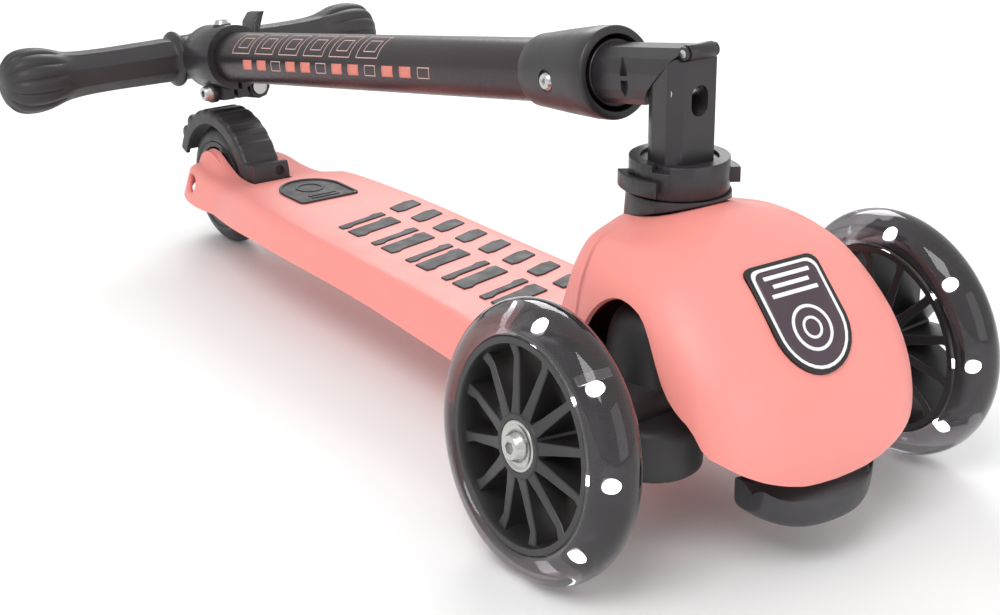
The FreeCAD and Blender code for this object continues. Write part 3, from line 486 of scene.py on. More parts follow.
rubber = soft_rubber()
pads = [foot_pad(k, -24, 9, 136 + 34 * k, 11, 8) for k in range(5)]
pads += [foot_pad(10 + k, -24, 9, 152 + 34 * k, 5, 8) for k in range(5)]
pads += [foot_pad(20 + k, 17, 36, 142 + 22 * k, 9, 5) for k in range(8)]
placed(joined("foot_pads", pads), "chassis", "rubber", "grip_pads")

badge_place = Matrix.Translation(spot(0, 362, DECK_TOP / MM)) @ Matrix.Rotation(math.pi, 4, "Z")
badge = [slab("badge_base", shield_outline(19.3, 21, -21), -0.2, 0.7, rubber, 0.3, badge_place),
         slab("badge_lip", shield_outline(19.3, 21, -21), 0.6, 1.5, rubber, 0.3, badge_place)]
hollow = slab("badge_hollow", shield_outline(17.6, 19.3, -19.3), 0.65, 3.0, rubber, 0.01, badge_place)
badge[1] = carved(badge[1], hollow)
ring_place = badge_place @ Matrix.Translation((0, -0.004, 0))
badge.append(flat_ring("badge_ring", 8.2, 6.8, 0.6, 1.25, rubber, ring_place))
badge += [slab(f"badge_bar_{k}", [(-9, y), (9, y), (9, y + 2.0), (-9, y + 2.0)], 0.6, 1.2, rubber, 0.2,
               badge_place) for k, y in enumerate((9.5, 13.5))]
placed(joined("deck_shield", badge), "chassis", "rubber", "deck_badge")


# ---- Nose hood --------------------------------------------------------------------------
# A smooth coral hood over the steering: it starts as a round collar seat at the stem, swells
# into a boxy nose, and is cut away at each side in a tall arch for the truck's arms. It is
# screwed down on the front of the deck from below.
HOOD_RINGS = [  # half width, front (behind, z), side z, rear (behind, z), middle, boxiness
    (21.5, (15.2, 137.9), 132.0, (58.0, 125.2), 36.6, 1.0),
    (25.0, (11.5, 138.2), 131.4, (60.6, 124.2), 36.0, 1.0),
    (33.0, (2.0, 136.5), 130.0, (62.5, 122.0), 32.0, 1.0),
    (48.0, (-12.0, 131.0), 126.5, (64.5, 116.0), 25.0, 0.85),
    (58.0, (-27.5, 122.5), 117.0, (66.5, 108.0), 19.0, 0.68),
    (63.0, (-40.0, 110.5), 104.5, (69.5, 98.0), 16.0, 0.56),
    (65.4, (-51.0, 97.5), 91.0, (76.0, 84.0), 14.0, 0.48),
    (66.2, (-59.5, 85.0), 79.0, (88.0, 71.5), 14.0, 0.46),
    (66.5, (-65.0, 72.0), 67.0, (107.0, 62.0), 14.0, 0.46),
    (66.5, (-68.0, 58.0), 56.0, (116.0, 56.5), 14.0, 0.48),
    (65.2, (-68.4, 47.0), 46.0, (118.0, 46.0), 14.0, 0.50),
    (62.0, (-67.2, 35.0), 35.0, (118.0, 35.0), 14.0, 0.50)]
ARCH_EDGE = [(-70, 54), (-63, 58.5), (-56, 63), (-48, 68.6), (-40, 74), (-33, 80.5), (-27, 88.5),
             (-22, 97), (-16, 104.6), (-8, 109.8), (0, 111.6), (8, 110.2), (15, 105), (21, 96), (26, 83),
             (29, 70), (31.5, 58.1), (34, 58.1)]
HOOD_WALL = 3.0


def superellipse(half, reach, power, steps):
    """Quarter-free half outline from (half, 0) over (0, reach) to (-half, 0), evenly spaced."""
    fine = []
    for k in range(601):
        turn = math.pi * k / 600
        c, s = math.cos(turn), math.sin(turn)
        fine.append((half * math.copysign(abs(c) ** power, c), reach * abs(s) ** power, s))
    run = [0.0]
    for p, q in zip(fine, fine[1:]):
        run.append(run[-1] + math.hypot(q[0] - p[0], q[1] - p[1]))
    points, at = [], 0
    for k in range(steps):
        target = run[-1] * k / steps
        while run[at + 1] < target:
            at += 1
        share = (target - run[at]) / max(run[at + 1] - run[at], 1e-12)
        points.append([a + (b - a) * share for a, b in zip(fine[at], fine[at + 1])])
    return points


def hood_ring(row, front_steps=88, rear_steps=56):
    half, front, side_z, rear, middle, boxy = row
    ring = []
    for x, reach, s in superellipse(half, middle - front[0], boxy, front_steps):
        ring.append((x, middle - reach, side_z + (front[1] - side_z) * s ** 1.6))
    for x, reach, s in superellipse(half, rear[0] - middle, 0.98 if boxy > 0.9 else 0.92, rear_steps):
        ring.append((-x, middle + reach, side_z + (rear[1] - side_z) * s ** 1.6))
    return ring


def blend_rows(rows, t):
    """Point on a smooth line through rows of points, t in row numbers."""
    k = min(int(t), len(rows) - 2)
    f = t - k
    p1, p2 = rows[k], rows[k + 1]
    p0 = rows[k - 1] if k else [2 * a - b for a, b in zip(p1, p2)]
    p3 = rows[k + 2] if k + 2 < len(rows) else [2 * b - a for a, b in zip(p1, p2)]
    return [0.5 * (2 * b + (c - a) * f + (2 * a - 5 * b + 4 * c - d) * f * f
                   + (3 * b - a - 3 * c + d) * f ** 3)
            for a, b, c, d in zip(p0, p1, p2, p3)]


def hood_edge(x, behind):
    """Height of the hood's lower edge: curved front lip, side arch, then the deck's top."""
    lip = 137.0 - math.sqrt(max(97.0 ** 2 - min(abs(x), 96) ** 2, 0))
    if behind < -20 and abs(x) < 60:
        return lip
    if behind < 33:
        arch = follow(ARCH_EDGE, behind)
        return max(arch, lip) if behind < -50 else arch
    return 58.1


def hood_lines(rows=44):
    """Vertical lines of the hood, from the collar seat to the lower edge."""
    rings = [hood_ring(row) for row in HOOD_RINGS]
    lines = []
    for c in range(len(rings[0])):
        column = [ring[c] for ring in rings]
        last = len(column) - 1.001
        samples = [last * k / 240 for k in range(241)]
        end = last
        for before, now in zip(samples, samples[1:]):
            x, behind, z = blend_rows(column, now)
            if z < hood_edge(x, behind):
                end = before
                break
        lines.append([blend_rows(column, end * k / rows) for k in range(rows + 1)])
    return lines


def hood_shell(material):
    lines = hood_lines()
    count, rows = len(lines), len(lines[0])
    ends = [line[-1] for line in lines]
    for c in range(count):  # even the lower edge out a little
        near = [ends[(c + k) % count] for k in (-1, 0, 1)]
        lines[c][-1] = [sum(p[i] * w for p, w in zip(near, (0.25, 0.5, 0.25))) for i in range(3)]
    rings = [[spot(*lines[c][r]) for c in range(count)] for r in range(rows)]
    piece = skin("nose_hood", rings, material, caps=False)
    wall = piece.modifiers.new("wall", "SOLIDIFY")
    wall.thickness = HOOD_WALL * MM
    wall.offset = -1
    wall.use_even_offset = True
    return bevelled(piece, 0.9 * MM, 3, 50)


hood = placed(hood_shell(coral), "chassis", "coral", "nose_shell")


# ---- Nose badge -------------------------------------------------------------------------
# A shield-shaped soft badge glued in a recess on the hood's front: black rubber edge, a
# thin white line and a dark field with a plain raised ring and three bars.
BADGE_SPOT, BADGE_TILT = (0, -45.0, 106.0), math.radians(47.0)
badge_frame = Matrix.Translation(spot(*BADGE_SPOT)) @ Matrix.Rotation(BADGE_TILT, 4, "X")
badge_frame = badge_frame @ Matrix.Diagonal((1.1, 1.1, 1.0, 1.0))
bpy.context.view_layer.update()
hood_surface = BVHTree.FromObject(hood, bpy.context.evaluated_depsgraph_get())


def on_hood(piece):
    """Bends a flat piece over the hood: each point keeps its height above the surface."""
    bpy.context.view_layer.update()
    flat = bpy.data.meshes.new_from_object(piece.evaluated_get(bpy.context.evaluated_depsgraph_get()))
    piece.modifiers.clear()
    piece.data = flat
    outward_dir = badge_frame.to_3x3() @ Vector((0, 0, 1))
    for vertex in flat.vertices:
        base = badge_frame @ Vector((vertex.co.x, vertex.co.y, 0))
        hit = hood_surface.ray_cast(base + outward_dir * 0.03, -outward_dir)[0]
        vertex.co = hit + outward_dir * vertex.co.z
    return piece


def banded(name, outline, inner, low, high, material):
    """Closed band between two outlines with the same number of points."""
    rings = [[Vector((x * MM, y * MM, z * MM)) for x, y in line]
             for line, z in ((outline, low), (outline, high), (inner, high), (inner, low))]
    return bevelled(skin(name, rings, material, caps=False, loop=True), 0.25 * MM, 2)


def filled(name, outline, low, high, material, layers=10):
    """Plate whose face is a fan of shrinking outlines, so that it can bend."""
    centre = Vector((sum(x for x, y in outline), sum(y for x, y in outline))) / len(outline)
    rings = [[Vector((x * MM, y * MM, low * MM)) for x, y in outline]]
    for k in range(layers + 1):
        share = 1 - 0.98 * k / layers
        rings.append([Vector(((centre.x + (x - centre.x) * share) * MM,
                              (centre.y + (y - centre.y) * share) * MM, high * MM)) for x, y in outline])
    return skin(name, rings, material)


def satin_white():
    material, tree, shader = new_material("badge_white", (0.85, 0.85, 0.85), 0.35)
    vary(tree, noise(tree, 200.0), shader.inputs["Roughness"], 0.3, 0.42)
    tint(tree, noise(tree, 80.0), shader.inputs["Base Color"], (0.80, 0.80, 0.80), (0.88, 0.88, 0.88))
    return material


white = satin_white()
edge_rubber = soft_rubber("badge_rubber", (0.012, 0.011, 0.012), 0.4)
field = soft_rubber("badge_field", (0.052, 0.032, 0.044), 0.33, 1600.0)
lines = [shield_outline(18.3 - d, 23.5 - d, d - 23.5, 4.0) for d in (0, 1.7, 3.1)]
emblem = [filled("badge_back", lines[0], -0.6, 1.0, edge_rubber),
          banded("badge_edge", lines[0], lines[1], 0.2, 1.7, edge_rubber),
          banded("badge_line", lines[1], lines[2], 0.4, 1.6, white),
          filled("badge_face", lines[2], 0.5, 1.35, field)]
circle = [[(r * math.cos(t), r * math.sin(t) - 5.5) for t in (2 * math.pi * k / 48 for k in range(48))]
          for r in (9.4, 8.0, 4.6, 3.4)]
emblem.append(banded("badge_ring", circle[0], circle[1], 1.2, 1.75, white))
emblem.append(banded("badge_dot_ring", circle[2], circle[3], 1.2, 1.75, white))
for k, (half, y) in enumerate(((11.5, 16.4), (9.0, 12.6), (11.5, 8.8))):
    bar = [(-half, y), (half, y), (half, y + 1.7), (-half, y + 1.7)]
    emblem.append(slab(f"badge_stripe_{k}", bar, 1.2, 1.75, white, 0.2))
badge_piece = joined("nose_shield", [on_hood(part) for part in emblem])
badge_piece.data.shade_smooth()
placed(badge_piece, "chassis", "rubber", "nose_badge", "nose_badge_rim")


# ---- Front bumper -----------------------------------------------------------------------
# Solid dark rubber toe under the nose that keeps the painted hood off kerbs. It is pushed
# up into the hood's front opening and screwed from below.
BUMPER_HALF = 32.0


def bumper_row(x):
    """Rounded profile at x: the toe curls back and up towards its ends."""
    side = abs(x) / BUMPER_HALF
    back, lift = 13.5 * side ** 2.4, 8.0 * side ** 4
    profile = [(-71.9, 30), (-71.2, 25), (-68.5, 21.2), (-64, 19.4), (-57, 19.0), (-49, 20.5), (-44, 24),
               (-41.5, 30), (-41, 38), (-50, 40), (-59, 40), (-62, 37.6), (-66, 36.2), (-70, 35.4),
               (-71.6, 33.4)]
    return [spot(x, min(b + back, -40 + 0.02 * b), z + lift * (z < 34)) for b, z in profile]


def bumper(material):
    rings = [bumper_row(BUMPER_HALF * math.sin(math.radians(90 * k / 12))) for k in range(-12, 13)]
    for k, share in ((0, 0.5), (-1, 0.5)):
        middle = sum(rings[k], Vector()) / len(rings[k])
        end = [middle + (p - middle) * share for p in rings[k]]
        rings.insert(0, end) if k == 0 else rings.append(end)
    piece = skin("toe_bumper", rings, material)
    rounding = piece.modifiers.new("rounding", "SUBSURF")
    rounding.levels = rounding.render_levels = 2
    return piece


bumper_rubber = soft_rubber("bumper_rubber", (0.034, 0.033, 0.036), 0.5, 1300.0)
placed(bumper(bumper_rubber), "chassis", "rubber", "front_bumper")


# ---- Rear wheel and axle ----------------------------------------------------------------
# A small wheel with a dark cast tyre on a six-spoke core. Its bearings turn on a hidden
# zinc-plated axle between the deck's cheeks, with plastic spacers at each side.
def black_plastic(name="black_plastic", colour=(0.020, 0.0185, 0.020), roughness=0.36, grain=1800.0,
                  depth=0.15):
    material, tree, shader = new_material(name, colour, roughness)
    paler = tuple(c * 1.5 for c in colour)
    tint(tree, noise(tree, 25.0, 3.0), shader.inputs["Base Color"], colour, paler)
    vary(tree, noise(tree, 90.0, 4.0), shader.inputs["Roughness"], roughness - 0.06, roughness + 0.08)
    emboss(tree, shader, noise(tree, grain, 3.0), depth, 0.0002)
    return material


def plated_steel(name="zinc_plate", colour=(0.60, 0.60, 0.58), roughness=0.28):
    material, tree, shader = new_material(name, colour, roughness)
    shader.inputs["Metallic"].default_value = 1.0
    tint(tree, noise(tree, 70.0, 4.0), shader.inputs["Base Color"], tuple(c * 0.8 for c in colour), colour)
    vary(tree, noise(tree, 400.0, 4.0), shader.inputs["Roughness"], roughness - 0.08, roughness + 0.14)
    return material


def dressed(node, material, width=0.0):
    """Gives a CAD node its real finish and, if asked, softly broken edges."""
    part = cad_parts[node]
    part.data.materials.clear()
    part.data.materials.append(material)
    if width:
        weld = part.modifiers.new("weld", "WELD")
        weld.merge_threshold = 1e-5
        bevelled(part, width * MM, 2, 30)
    return part


black = black_plastic()
zinc = plated_steel()
for node in ("rear_core", "rear_spacers"):
    dressed(node, black, 0.4)
for node in ("rear_axle", "rear_bearings", "brake_pin"):
    dressed(node, zinc, 0.2)


def turned(name, profile, centre, axis, material, steps=96, closed=True):
    """Solid of revolution: (along, radius) points in millimetres about an axis."""
    axis = Vector(axis).normalized()
    side = axis.orthogonal().normalized()
    up = axis.cross(side)
    rings = []
    for k in range(steps):
        turn = 2 * math.pi * k / steps
        out = side * math.cos(turn) + up * math.sin(turn)
        rings.append([Vector(centre) + axis * (a * MM) + out * (r * MM) for a, r in profile])
    return skin(name, rings, material, closed=closed, caps=False, loop=True)


def arc(centre_a, centre_r, radius, start, end, steps):
    """Points on an arc in the (along, radius) plane, angles in degrees from outwards."""
    points = []
    for k in range(steps + 1):
        turn = math.radians(start + (end - start) * k / steps)
        points.append((centre_a + radius * math.sin(turn), centre_r + radius * math.cos(turn)))
    return points


def centre_of(node):
    low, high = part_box(node)
    return (low + high) / 2


REAR_TYRE_R, REAR_SEAT_R, REAR_HALF = 37.9, 27.1, 9.3
rear_centre = centre_of("rear_tyre")
rear_profile = arc(0, REAR_TYRE_R - REAR_HALF - 0.5, REAR_HALF, -88, 88, 26)
rear_profile = [(a, r + 0.5) for a, r in rear_profile] + [(REAR_HALF - 0.6, REAR_SEAT_R),
                                                          (0.6 - REAR_HALF, REAR_SEAT_R)]
rear_rubber = soft_rubber("rear_tyre_rubber", (0.022, 0.022, 0.024), 0.42, 700.0)
rear_tyre = turned("rear_tread", rear_profile, rear_centre, (1, 0, 0), rear_rubber)
placed(rear_tyre, "rear_wheel", "rear_tyre", "rear_tyre")


# ---- Step-on brake ----------------------------------------------------------------------
# A thick glass-filled nylon mudguard that hinges on a pin in front of the wheel. It has
# fine steps over its crown and two rounded cross grips on its rear slope for the heel.
BRAKE_CENTRE, BRAKE_R, BRAKE_HALF = (466.0, 36.9), 49.6, 12.4
REAR_AXLE = (466.0, 38.0)
BRAKE_IN_R = 42.3


def brake_outer(angle):
    """Outer radius along the arch: steps over the crown and two grips on the slope."""
    radius = BRAKE_R - 1.2
    for centre, width, rise in ((36, 4.0, 2.6), (50, 4.0, 2.6)):
        radius += rise * max(1 - ((angle - centre) / width) ** 2, 0) ** 0.6
    if 62 < angle < 150:
        radius += 0.55 * (0.5 + 0.5 * math.tanh(6 * math.sin(math.radians((angle - 62) * 30))))
    return radius


def brake_arch(material):
    """Saddle over the wheel: rows run round the arch, each row a rounded cross-section."""
    rings = []
    for k in range(157):
        angle = 20 + k * (162 - 20) / 156
        c, s = math.cos(math.radians(angle)), math.sin(math.radians(angle))
        radius = brake_outer(angle)
        outer = (BRAKE_CENTRE[0] + radius * c, BRAKE_CENTRE[1] + radius * s)
        # inner arc is round about the rear axle
        away = Vector((outer[0] - REAR_AXLE[0], outer[1] - REAR_AXLE[1]))
        inner = Vector(REAR_AXLE) + away.normalized() * BRAKE_IN_R
        out = Vector((c, s))
        row = []
        round_r = 3.2
        for turn in range(0, 91, 18):
            t = math.radians(turn)
            x = BRAKE_HALF - round_r + round_r * math.sin(t)
            drop = round_r * (1 - math.cos(t))
            row.append((x, outer[0] - out.x * drop, outer[1] - out.y * drop))
        low = Vector(outer) - out * (away.length - BRAKE_IN_R + 3.5)
        row += [(BRAKE_HALF, low.x, low.y), (BRAKE_HALF - 2.6, low.x, low.y),
                (BRAKE_HALF - 2.8, inner.x, inner.y)]
        row = [(-x, b, z) for x, b, z in reversed(row)] + row
        rings.append([spot(*p) for p in row])
    piece = skin("brake_saddle", rings, material)
    return bevelled(piece, 0.5 * MM, 2, 50)


def brake_foot(material):
    """Hinge block of the brake in front of the wheel, with a round notch in its top edge."""
    outline = [(411.4, 43), (421, 43), (423, 52), (421.5, 58), (418, 62), (413.6, 62.5), (411.6, 58),
               (411.3, 50)]
    rings = [[spot(x, b, z) for b, z in outline] for x in (-11.8, 11.8)]
    piece = bevelled(skin("brake_foot", rings, material), 0.01 * MM, 1)
    notch = turned("notch", [(-9, 0.01), (-9, 3.0), (3, 3.0), (3, 0.01)], spot(5.5, 411, 57.5), (0, 1, 0),
                   material, 32)
    return bevelled(carved(piece, notch), 0.9 * MM, 3)


brake_nylon = black_plastic("brake_nylon", (0.024, 0.022, 0.024), 0.42, 900.0, 0.3)
placed(joined("step_brake", [brake_arch(brake_nylon), brake_foot(brake_nylon)]), "brake", "black",
       "brake_fender")


# ---- Front truck ------------------------------------------------------------------------
# One black nylon moulding: a hub on the tilted steering pin, an arm to each wheel with a
# tall rounded lobe that fills the hood's side arch, and a flared foot below it.
def round_row(x, behind, z, half_y, half_z, power=0.72, count=24):
    row = []
    for k in range(count):
        turn = 2 * math.pi * k / count
        c, s = math.cos(turn), math.sin(turn)
        row.append(spot(x, behind + half_y * math.copysign(abs(c) ** power, c),
                        z + half_z * math.copysign(abs(s) ** power, s)))
    return row


def arm_piece(name, rows, side, material, levels=1):
    rings = [round_row(side * x, *rest) for x, *rest in rows]
    piece = skin(name, rings, material)
    rounding = piece.modifiers.new("rounding", "SUBSURF")
    rounding.levels = rounding.render_levels = levels
    return piece


def truck_arm(side, material):
    tag = "left" if side > 0 else "right"
    lobe = [(36, 7, 76, 12, 22), (40, 7, 77, 15.5, 27.5), (46, 6, 77, 17, 29.5), (52, 6, 76, 15.5, 28),
            (55.5, 6, 75, 11, 22), (56.5, 6, 75, 5, 12)]
    foot = [(33, -8, 50, 13, 10, 0.4), (36, -9, 49, 19, 12.5, 0.36), (52, -8, 48.5, 22, 13, 0.34),
            (64, -5, 49, 19, 12.5, 0.34), (72, -2, 50, 14, 11, 0.4), (75, -1, 51, 7, 7, 0.6)]
    neck = [(20, 4, 68, 9, 10), (44, 2, 64, 14, 15), (64, 0, 59, 13, 13), (76, 0, 59, 9.5, 9.5),
            (84, 0, 59.4, 8, 8), (88, 0, 59.6, 7.6, 7.6)]
    return [arm_piece(f"lobe_{tag}", lobe, side, material, 2), arm_piece(f"foot_{tag}", foot, side,
                                                                         material, 2),
            arm_piece(f"neck_{tag}", neck, side, material, 2)]


def truck_hub(material):
    tilt = math.radians(40)
    axis = Vector((0, -math.sin(tilt), math.cos(tilt)))
    return turned("truck_hub", [(-17, 5.1), (-17, 13), (-16, 14), (16, 14), (17, 13), (17, 5.1)],
                  spot(0, 6, 72), axis, material, 64)


truck_nylon = black_plastic("truck_nylon", (0.024, 0.023, 0.025), 0.46, 420.0, 0.35)
truck_parts = [truck_hub(truck_nylon)]
for side in (1, -1):
    truck_parts += truck_arm(side, truck_nylon)
placed(joined("truck_arms", truck_parts), "truck", "black", "truck_body")
for node in ("head_block", "steer_pin"):
    dressed(node, black if node == "head_block" else zinc, 0.3)


# ---- Front wheels -----------------------------------------------------------------------
# Each wheel is a black twelve-spoke nylon core with two ball bearings, a ring of small
# dynamo lamps on its rim, and a clear smoky polyurethane tyre cast over them.
CAMBER, FRONT_R, TYRE_HALF, RIM_R, RIM_IN_R, HUB_R, HUB_HALF = 4.6, 59.9, 11.9, 45.8, 42.4, 14.0, 11.0
SPOKES, LAMPS, CARRIER = 12, 8, 1


def smoky_urethane():
    material, tree, shader = new_material("smoky_urethane", (0.22, 0.20, 0.22), 0.04)
    shader.inputs["Transmission Weight"].default_value = 0.93
    shader.inputs["IOR"].default_value = 1.38
    shader.inputs["Coat Weight"].default_value = 0.4
    tint(tree, noise(tree, 30.0, 2.0), shader.inputs["Base Color"], (0.14, 0.13, 0.14), (0.26, 0.24, 0.26))
    vary(tree, noise(tree, 160.0), shader.inputs["Roughness"], 0.02, 0.06)
    return material


def lamp_glow():
    material, tree, shader = new_material("lamp_glow", (0.95, 0.95, 0.95), 0.3)
    shader.inputs["Emission Color"].default_value = (1.0, 0.97, 1.0, 1)
    shader.inputs["Emission Strength"].default_value = 9.0
    vary(tree, noise(tree, 300.0), shader.inputs["Roughness"], 0.2, 0.4)
    return material


def mirror_band():
    """Smoked reflector foil between the core and the clear tyre."""
    material, tree, shader = new_material("mirror_band", (0.20, 0.18, 0.20), 0.2)
    shader.inputs["Metallic"].default_value = 1.0
    tint(tree, noise(tree, 45.0, 3.0), shader.inputs["Base Color"], (0.03, 0.027, 0.03), (0.16, 0.15, 0.16))
    vary(tree, noise(tree, 90.0), shader.inputs["Roughness"], 0.1, 0.3)
    return material


urethane, glow, foil = smoky_urethane(), lamp_glow(), mirror_band()
core_nylon = black_plastic("core_nylon", (0.018, 0.017, 0.018), 0.33, 1500.0, 0.12)


def tapered_spoke(number, outer_half, axis, out, side, centre, material):
    """Spoke that narrows and thins from the hub to the rim."""
    rings = []
    for radius, wide, half in ((HUB_R - 1, 3.1, outer_half), (HUB_R + 6, 2.6, outer_half - 1.2),
                               (RIM_IN_R - 6, 2.1, outer_half - 3.4), (RIM_IN_R + 0.6, 3.0,
                                                                       outer_half - 2.0)):
        rings.append([centre + axis * (a * half * MM) + out * (radius * MM) + side * (s * wide * MM)
                      for a, s in ((-1, -1), (1, -1), (1, 1), (-1, 1))])
    return bevelled(skin(f"spoke_{number}", rings, material), 0.7 * MM, 3)


def front_wheel(side):
    tag = "left" if side > 0 else "right"
    tilt = math.radians(CAMBER)
    axis = Vector((math.cos(tilt) * side, 0, math.sin(tilt)))
    centre = centre_of(f"front_core_{tag}")
    up = Vector((-math.sin(tilt) * side, 0, math.cos(tilt)))
    ahead = up.cross(axis)
    rim = turned(f"rim_{tag}", [(-11, RIM_IN_R), (-11, RIM_R - 0.6), (-10.4, RIM_R), (10.4, RIM_R),
                                (11, RIM_R - 0.6), (11, RIM_IN_R), (9.8, RIM_IN_R - 0.6),
                                (3, RIM_IN_R - 1.6), (-3, RIM_IN_R - 1.6), (-9.8, RIM_IN_R - 0.6)],
                 centre, axis, core_nylon, 128)
    hub = turned(f"hub_{tag}", [(-11, 11.0), (-11, 13.3), (-10.3, HUB_R), (10.3, HUB_R), (11, 13.3),
                                (11, 11.0)], centre, axis, core_nylon, 64)
    parts = [bevelled(rim, 0.3 * MM, 2, 40), bevelled(hub, 0.3 * MM, 2, 40)]
    for k in range(SPOKES):
        turn = 2 * math.pi * (k + 0.5) / SPOKES
        out = up * math.cos(turn) + ahead * math.sin(turn)
        parts.append(tapered_spoke(k, HUB_HALF - 0.5, axis, out, axis.cross(out), centre, core_nylon))
    placed(joined(f"spoked_core_{tag}", parts), f"front_wheel_{tag}", "black", f"front_core_{tag}")

    tread = arc(0, FRONT_R - TYRE_HALF, TYRE_HALF, -90, 90, 36)
    tread += [(TYRE_HALF - 0.5, RIM_R + 0.1), (0.5 - TYRE_HALF, RIM_R + 0.1)]
    tyre = turned(f"clear_tyre_{tag}", tread, centre, axis, urethane, 160)
    placed(tyre, f"front_wheel_{tag}", "clear_tyre", f"front_tyre_{tag}")

    band = turned(f"foil_{tag}", [(-8.2, RIM_R + 0.5), (-7.8, RIM_R + 1.4), (7.8, RIM_R + 1.4),
                                  (8.2, RIM_R + 0.5)], centre, axis, foil, 128)
    lamps = [band]
    for k in range(LAMPS):
        turn = 2 * math.pi * k / LAMPS
        out = up * math.cos(turn) + ahead * math.sin(turn)
        seat = centre + out * ((RIM_R + 1.2) * MM)
        lamps.append(turned(f"lamp_{k}", [(-1, 0.05), (-1, 2.6), (0.6, 3.0), (1.8, 2.8), (2.7, 1.9),
                                          (3.1, 0.05)], seat, out, glow, 24))
        if k == CARRIER:  # the plated block that carries the dynamo's coil
            along = axis.cross(out)
            corners = [seat + axis * (a * 6.5 * MM) + along * ((4.6 + b * 2.2) * MM)
                       for a, b in ((-1, -1), (1, -1), (1, 1), (-1, 1))]
            carrier = skin(f"carrier_{k}", [corners, [c + out * (1.6 * MM) for c in corners]], zinc)
            lamps.append(bevelled(carrier, 0.5 * MM, 2))
    placed(joined(f"lamp_ring_{tag}", lamps), f"front_wheel_{tag}", "lights", f"front_lights_{tag}")

    races = []
    for end in (1, -1):
        races.append(turned(f"race_{end}", [(end * 10.6, 4.3), (end * 11.0, 4.6), (end * 11.0, 6.4),
                                            (end * 10.4, 6.8), (end * 10.4, 9.2), (end * 11.0, 9.6),
                                            (end * 11.0, 10.7), (end * 10.4, 11.0), (end * 4.0, 11.0),
                                            (end * 4.0, 4.3)], centre, axis, zinc, 64))
    races.append(turned("race_sleeve", [(-4, 4.3), (-4, 6.2), (4, 6.2), (4, 4.3)], centre, axis, zinc, 48))
    placed(joined(f"bearings_{tag}", races), f"front_wheel_{tag}", "zinc", f"front_bearings_{tag}")
    dressed(f"front_axle_bolt_{tag}", zinc, 0.25)


for side in (1, -1):
    front_wheel(side)


# ---- Stem collar, lock ring and post ----------------------------------------------------
# Black nylon: a collar closes the hood round the stem, a ring with two finger tabs turns on
# it to lock the stem, and the hollow post ends in a mitred hinge knuckle with a steel pin.
knuckle_nylon = black_plastic("knuckle_nylon", (0.021, 0.019, 0.021), 0.34, 1400.0, 0.16)
for node, width in (("stem_collar", 0.8), ("lock_ring", 0.7), ("lower_knuckle", 0.9),
                    ("upper_knuckle", 0.8)):
    dressed(node, knuckle_nylon, width)
for node in ("latch_pin", "hinge_pin"):
    dressed(node, zinc, 0.2)


# ---- T-bar tube -------------------------------------------------------------------------
# Straight aluminium tube, anodised a dark brown-grey. It carries a screen-printed pattern
# of pale outlined blocks with a row of small coral blocks below them.
HINGE = centre_of("hinge_pin")
TUBE_R, FOLD_SLOPE, TUBE_OFFSET = 15.15, math.radians(9.53), 10.5
TUBE_DIR = Vector((0, math.cos(FOLD_SLOPE), -math.sin(FOLD_SLOPE)))
TUBE_UP = Vector((0, math.sin(FOLD_SLOPE), math.cos(FOLD_SLOPE)))
TUBE_START = HINGE - TUBE_UP * (TUBE_OFFSET * MM)
TUBE_FROM, TUBE_TO = 57.6, 441.0


def on_tube(distance, height=0.0, x=0.0):
    """Point along the tube from beside the hinge; height is above its axis."""
    return TUBE_START + TUBE_DIR * (distance * MM) + TUBE_UP * (height * MM) + Vector((x * MM, 0, 0))


def anodised():
    material, tree, shader = new_material("anodised", (0.052, 0.040, 0.044), 0.32)
    shader.inputs["Metallic"].default_value = 0.65
    tint(tree, noise(tree, 14.0, 3.0), shader.inputs["Base Color"], (0.040, 0.030, 0.034),
         (0.062, 0.048, 0.053))
    vary(tree, noise(tree, 500.0, 3.0), shader.inputs["Roughness"], 0.26, 0.38)
    emboss(tree, shader, noise(tree, 3000.0, 2.0), 0.06, 0.0001)
    return material


dark_tube = anodised()
wall = 1.6
outer_tube = turned("outer_tube_skin", [(TUBE_FROM, TUBE_R - 0.3), (TUBE_FROM + 0.3, TUBE_R),
                                        (TUBE_TO - 0.3, TUBE_R), (TUBE_TO, TUBE_R - 0.3),
                                        (TUBE_TO, TUBE_R - wall), (TUBE_FROM, TUBE_R - wall)], TUBE_START,
                    TUBE_DIR, dark_tube, 128)
placed(bevelled(outer_tube, 0.1 * MM, 2), "t_bar", "tube", "outer_tube")


def print_ink(name, colour):
    material, tree, shader = new_material(name, colour, 0.5)
    tint(tree, noise(tree, 300.0, 4.0), shader.inputs["Base Color"], tuple(c * 0.85 for c in colour),
         colour)
    vary(tree, noise(tree, 600.0), shader.inputs["Roughness"], 0.42, 0.58)
    return material


def wrapped(along, round_by, lift):
    """Point on the tube's surface: round_by is the arc length from the top to the right."""
    turn = round_by / TUBE_R
    radius = TUBE_R + lift
    return on_tube(along, radius * math.cos(turn), -radius * math.sin(turn))


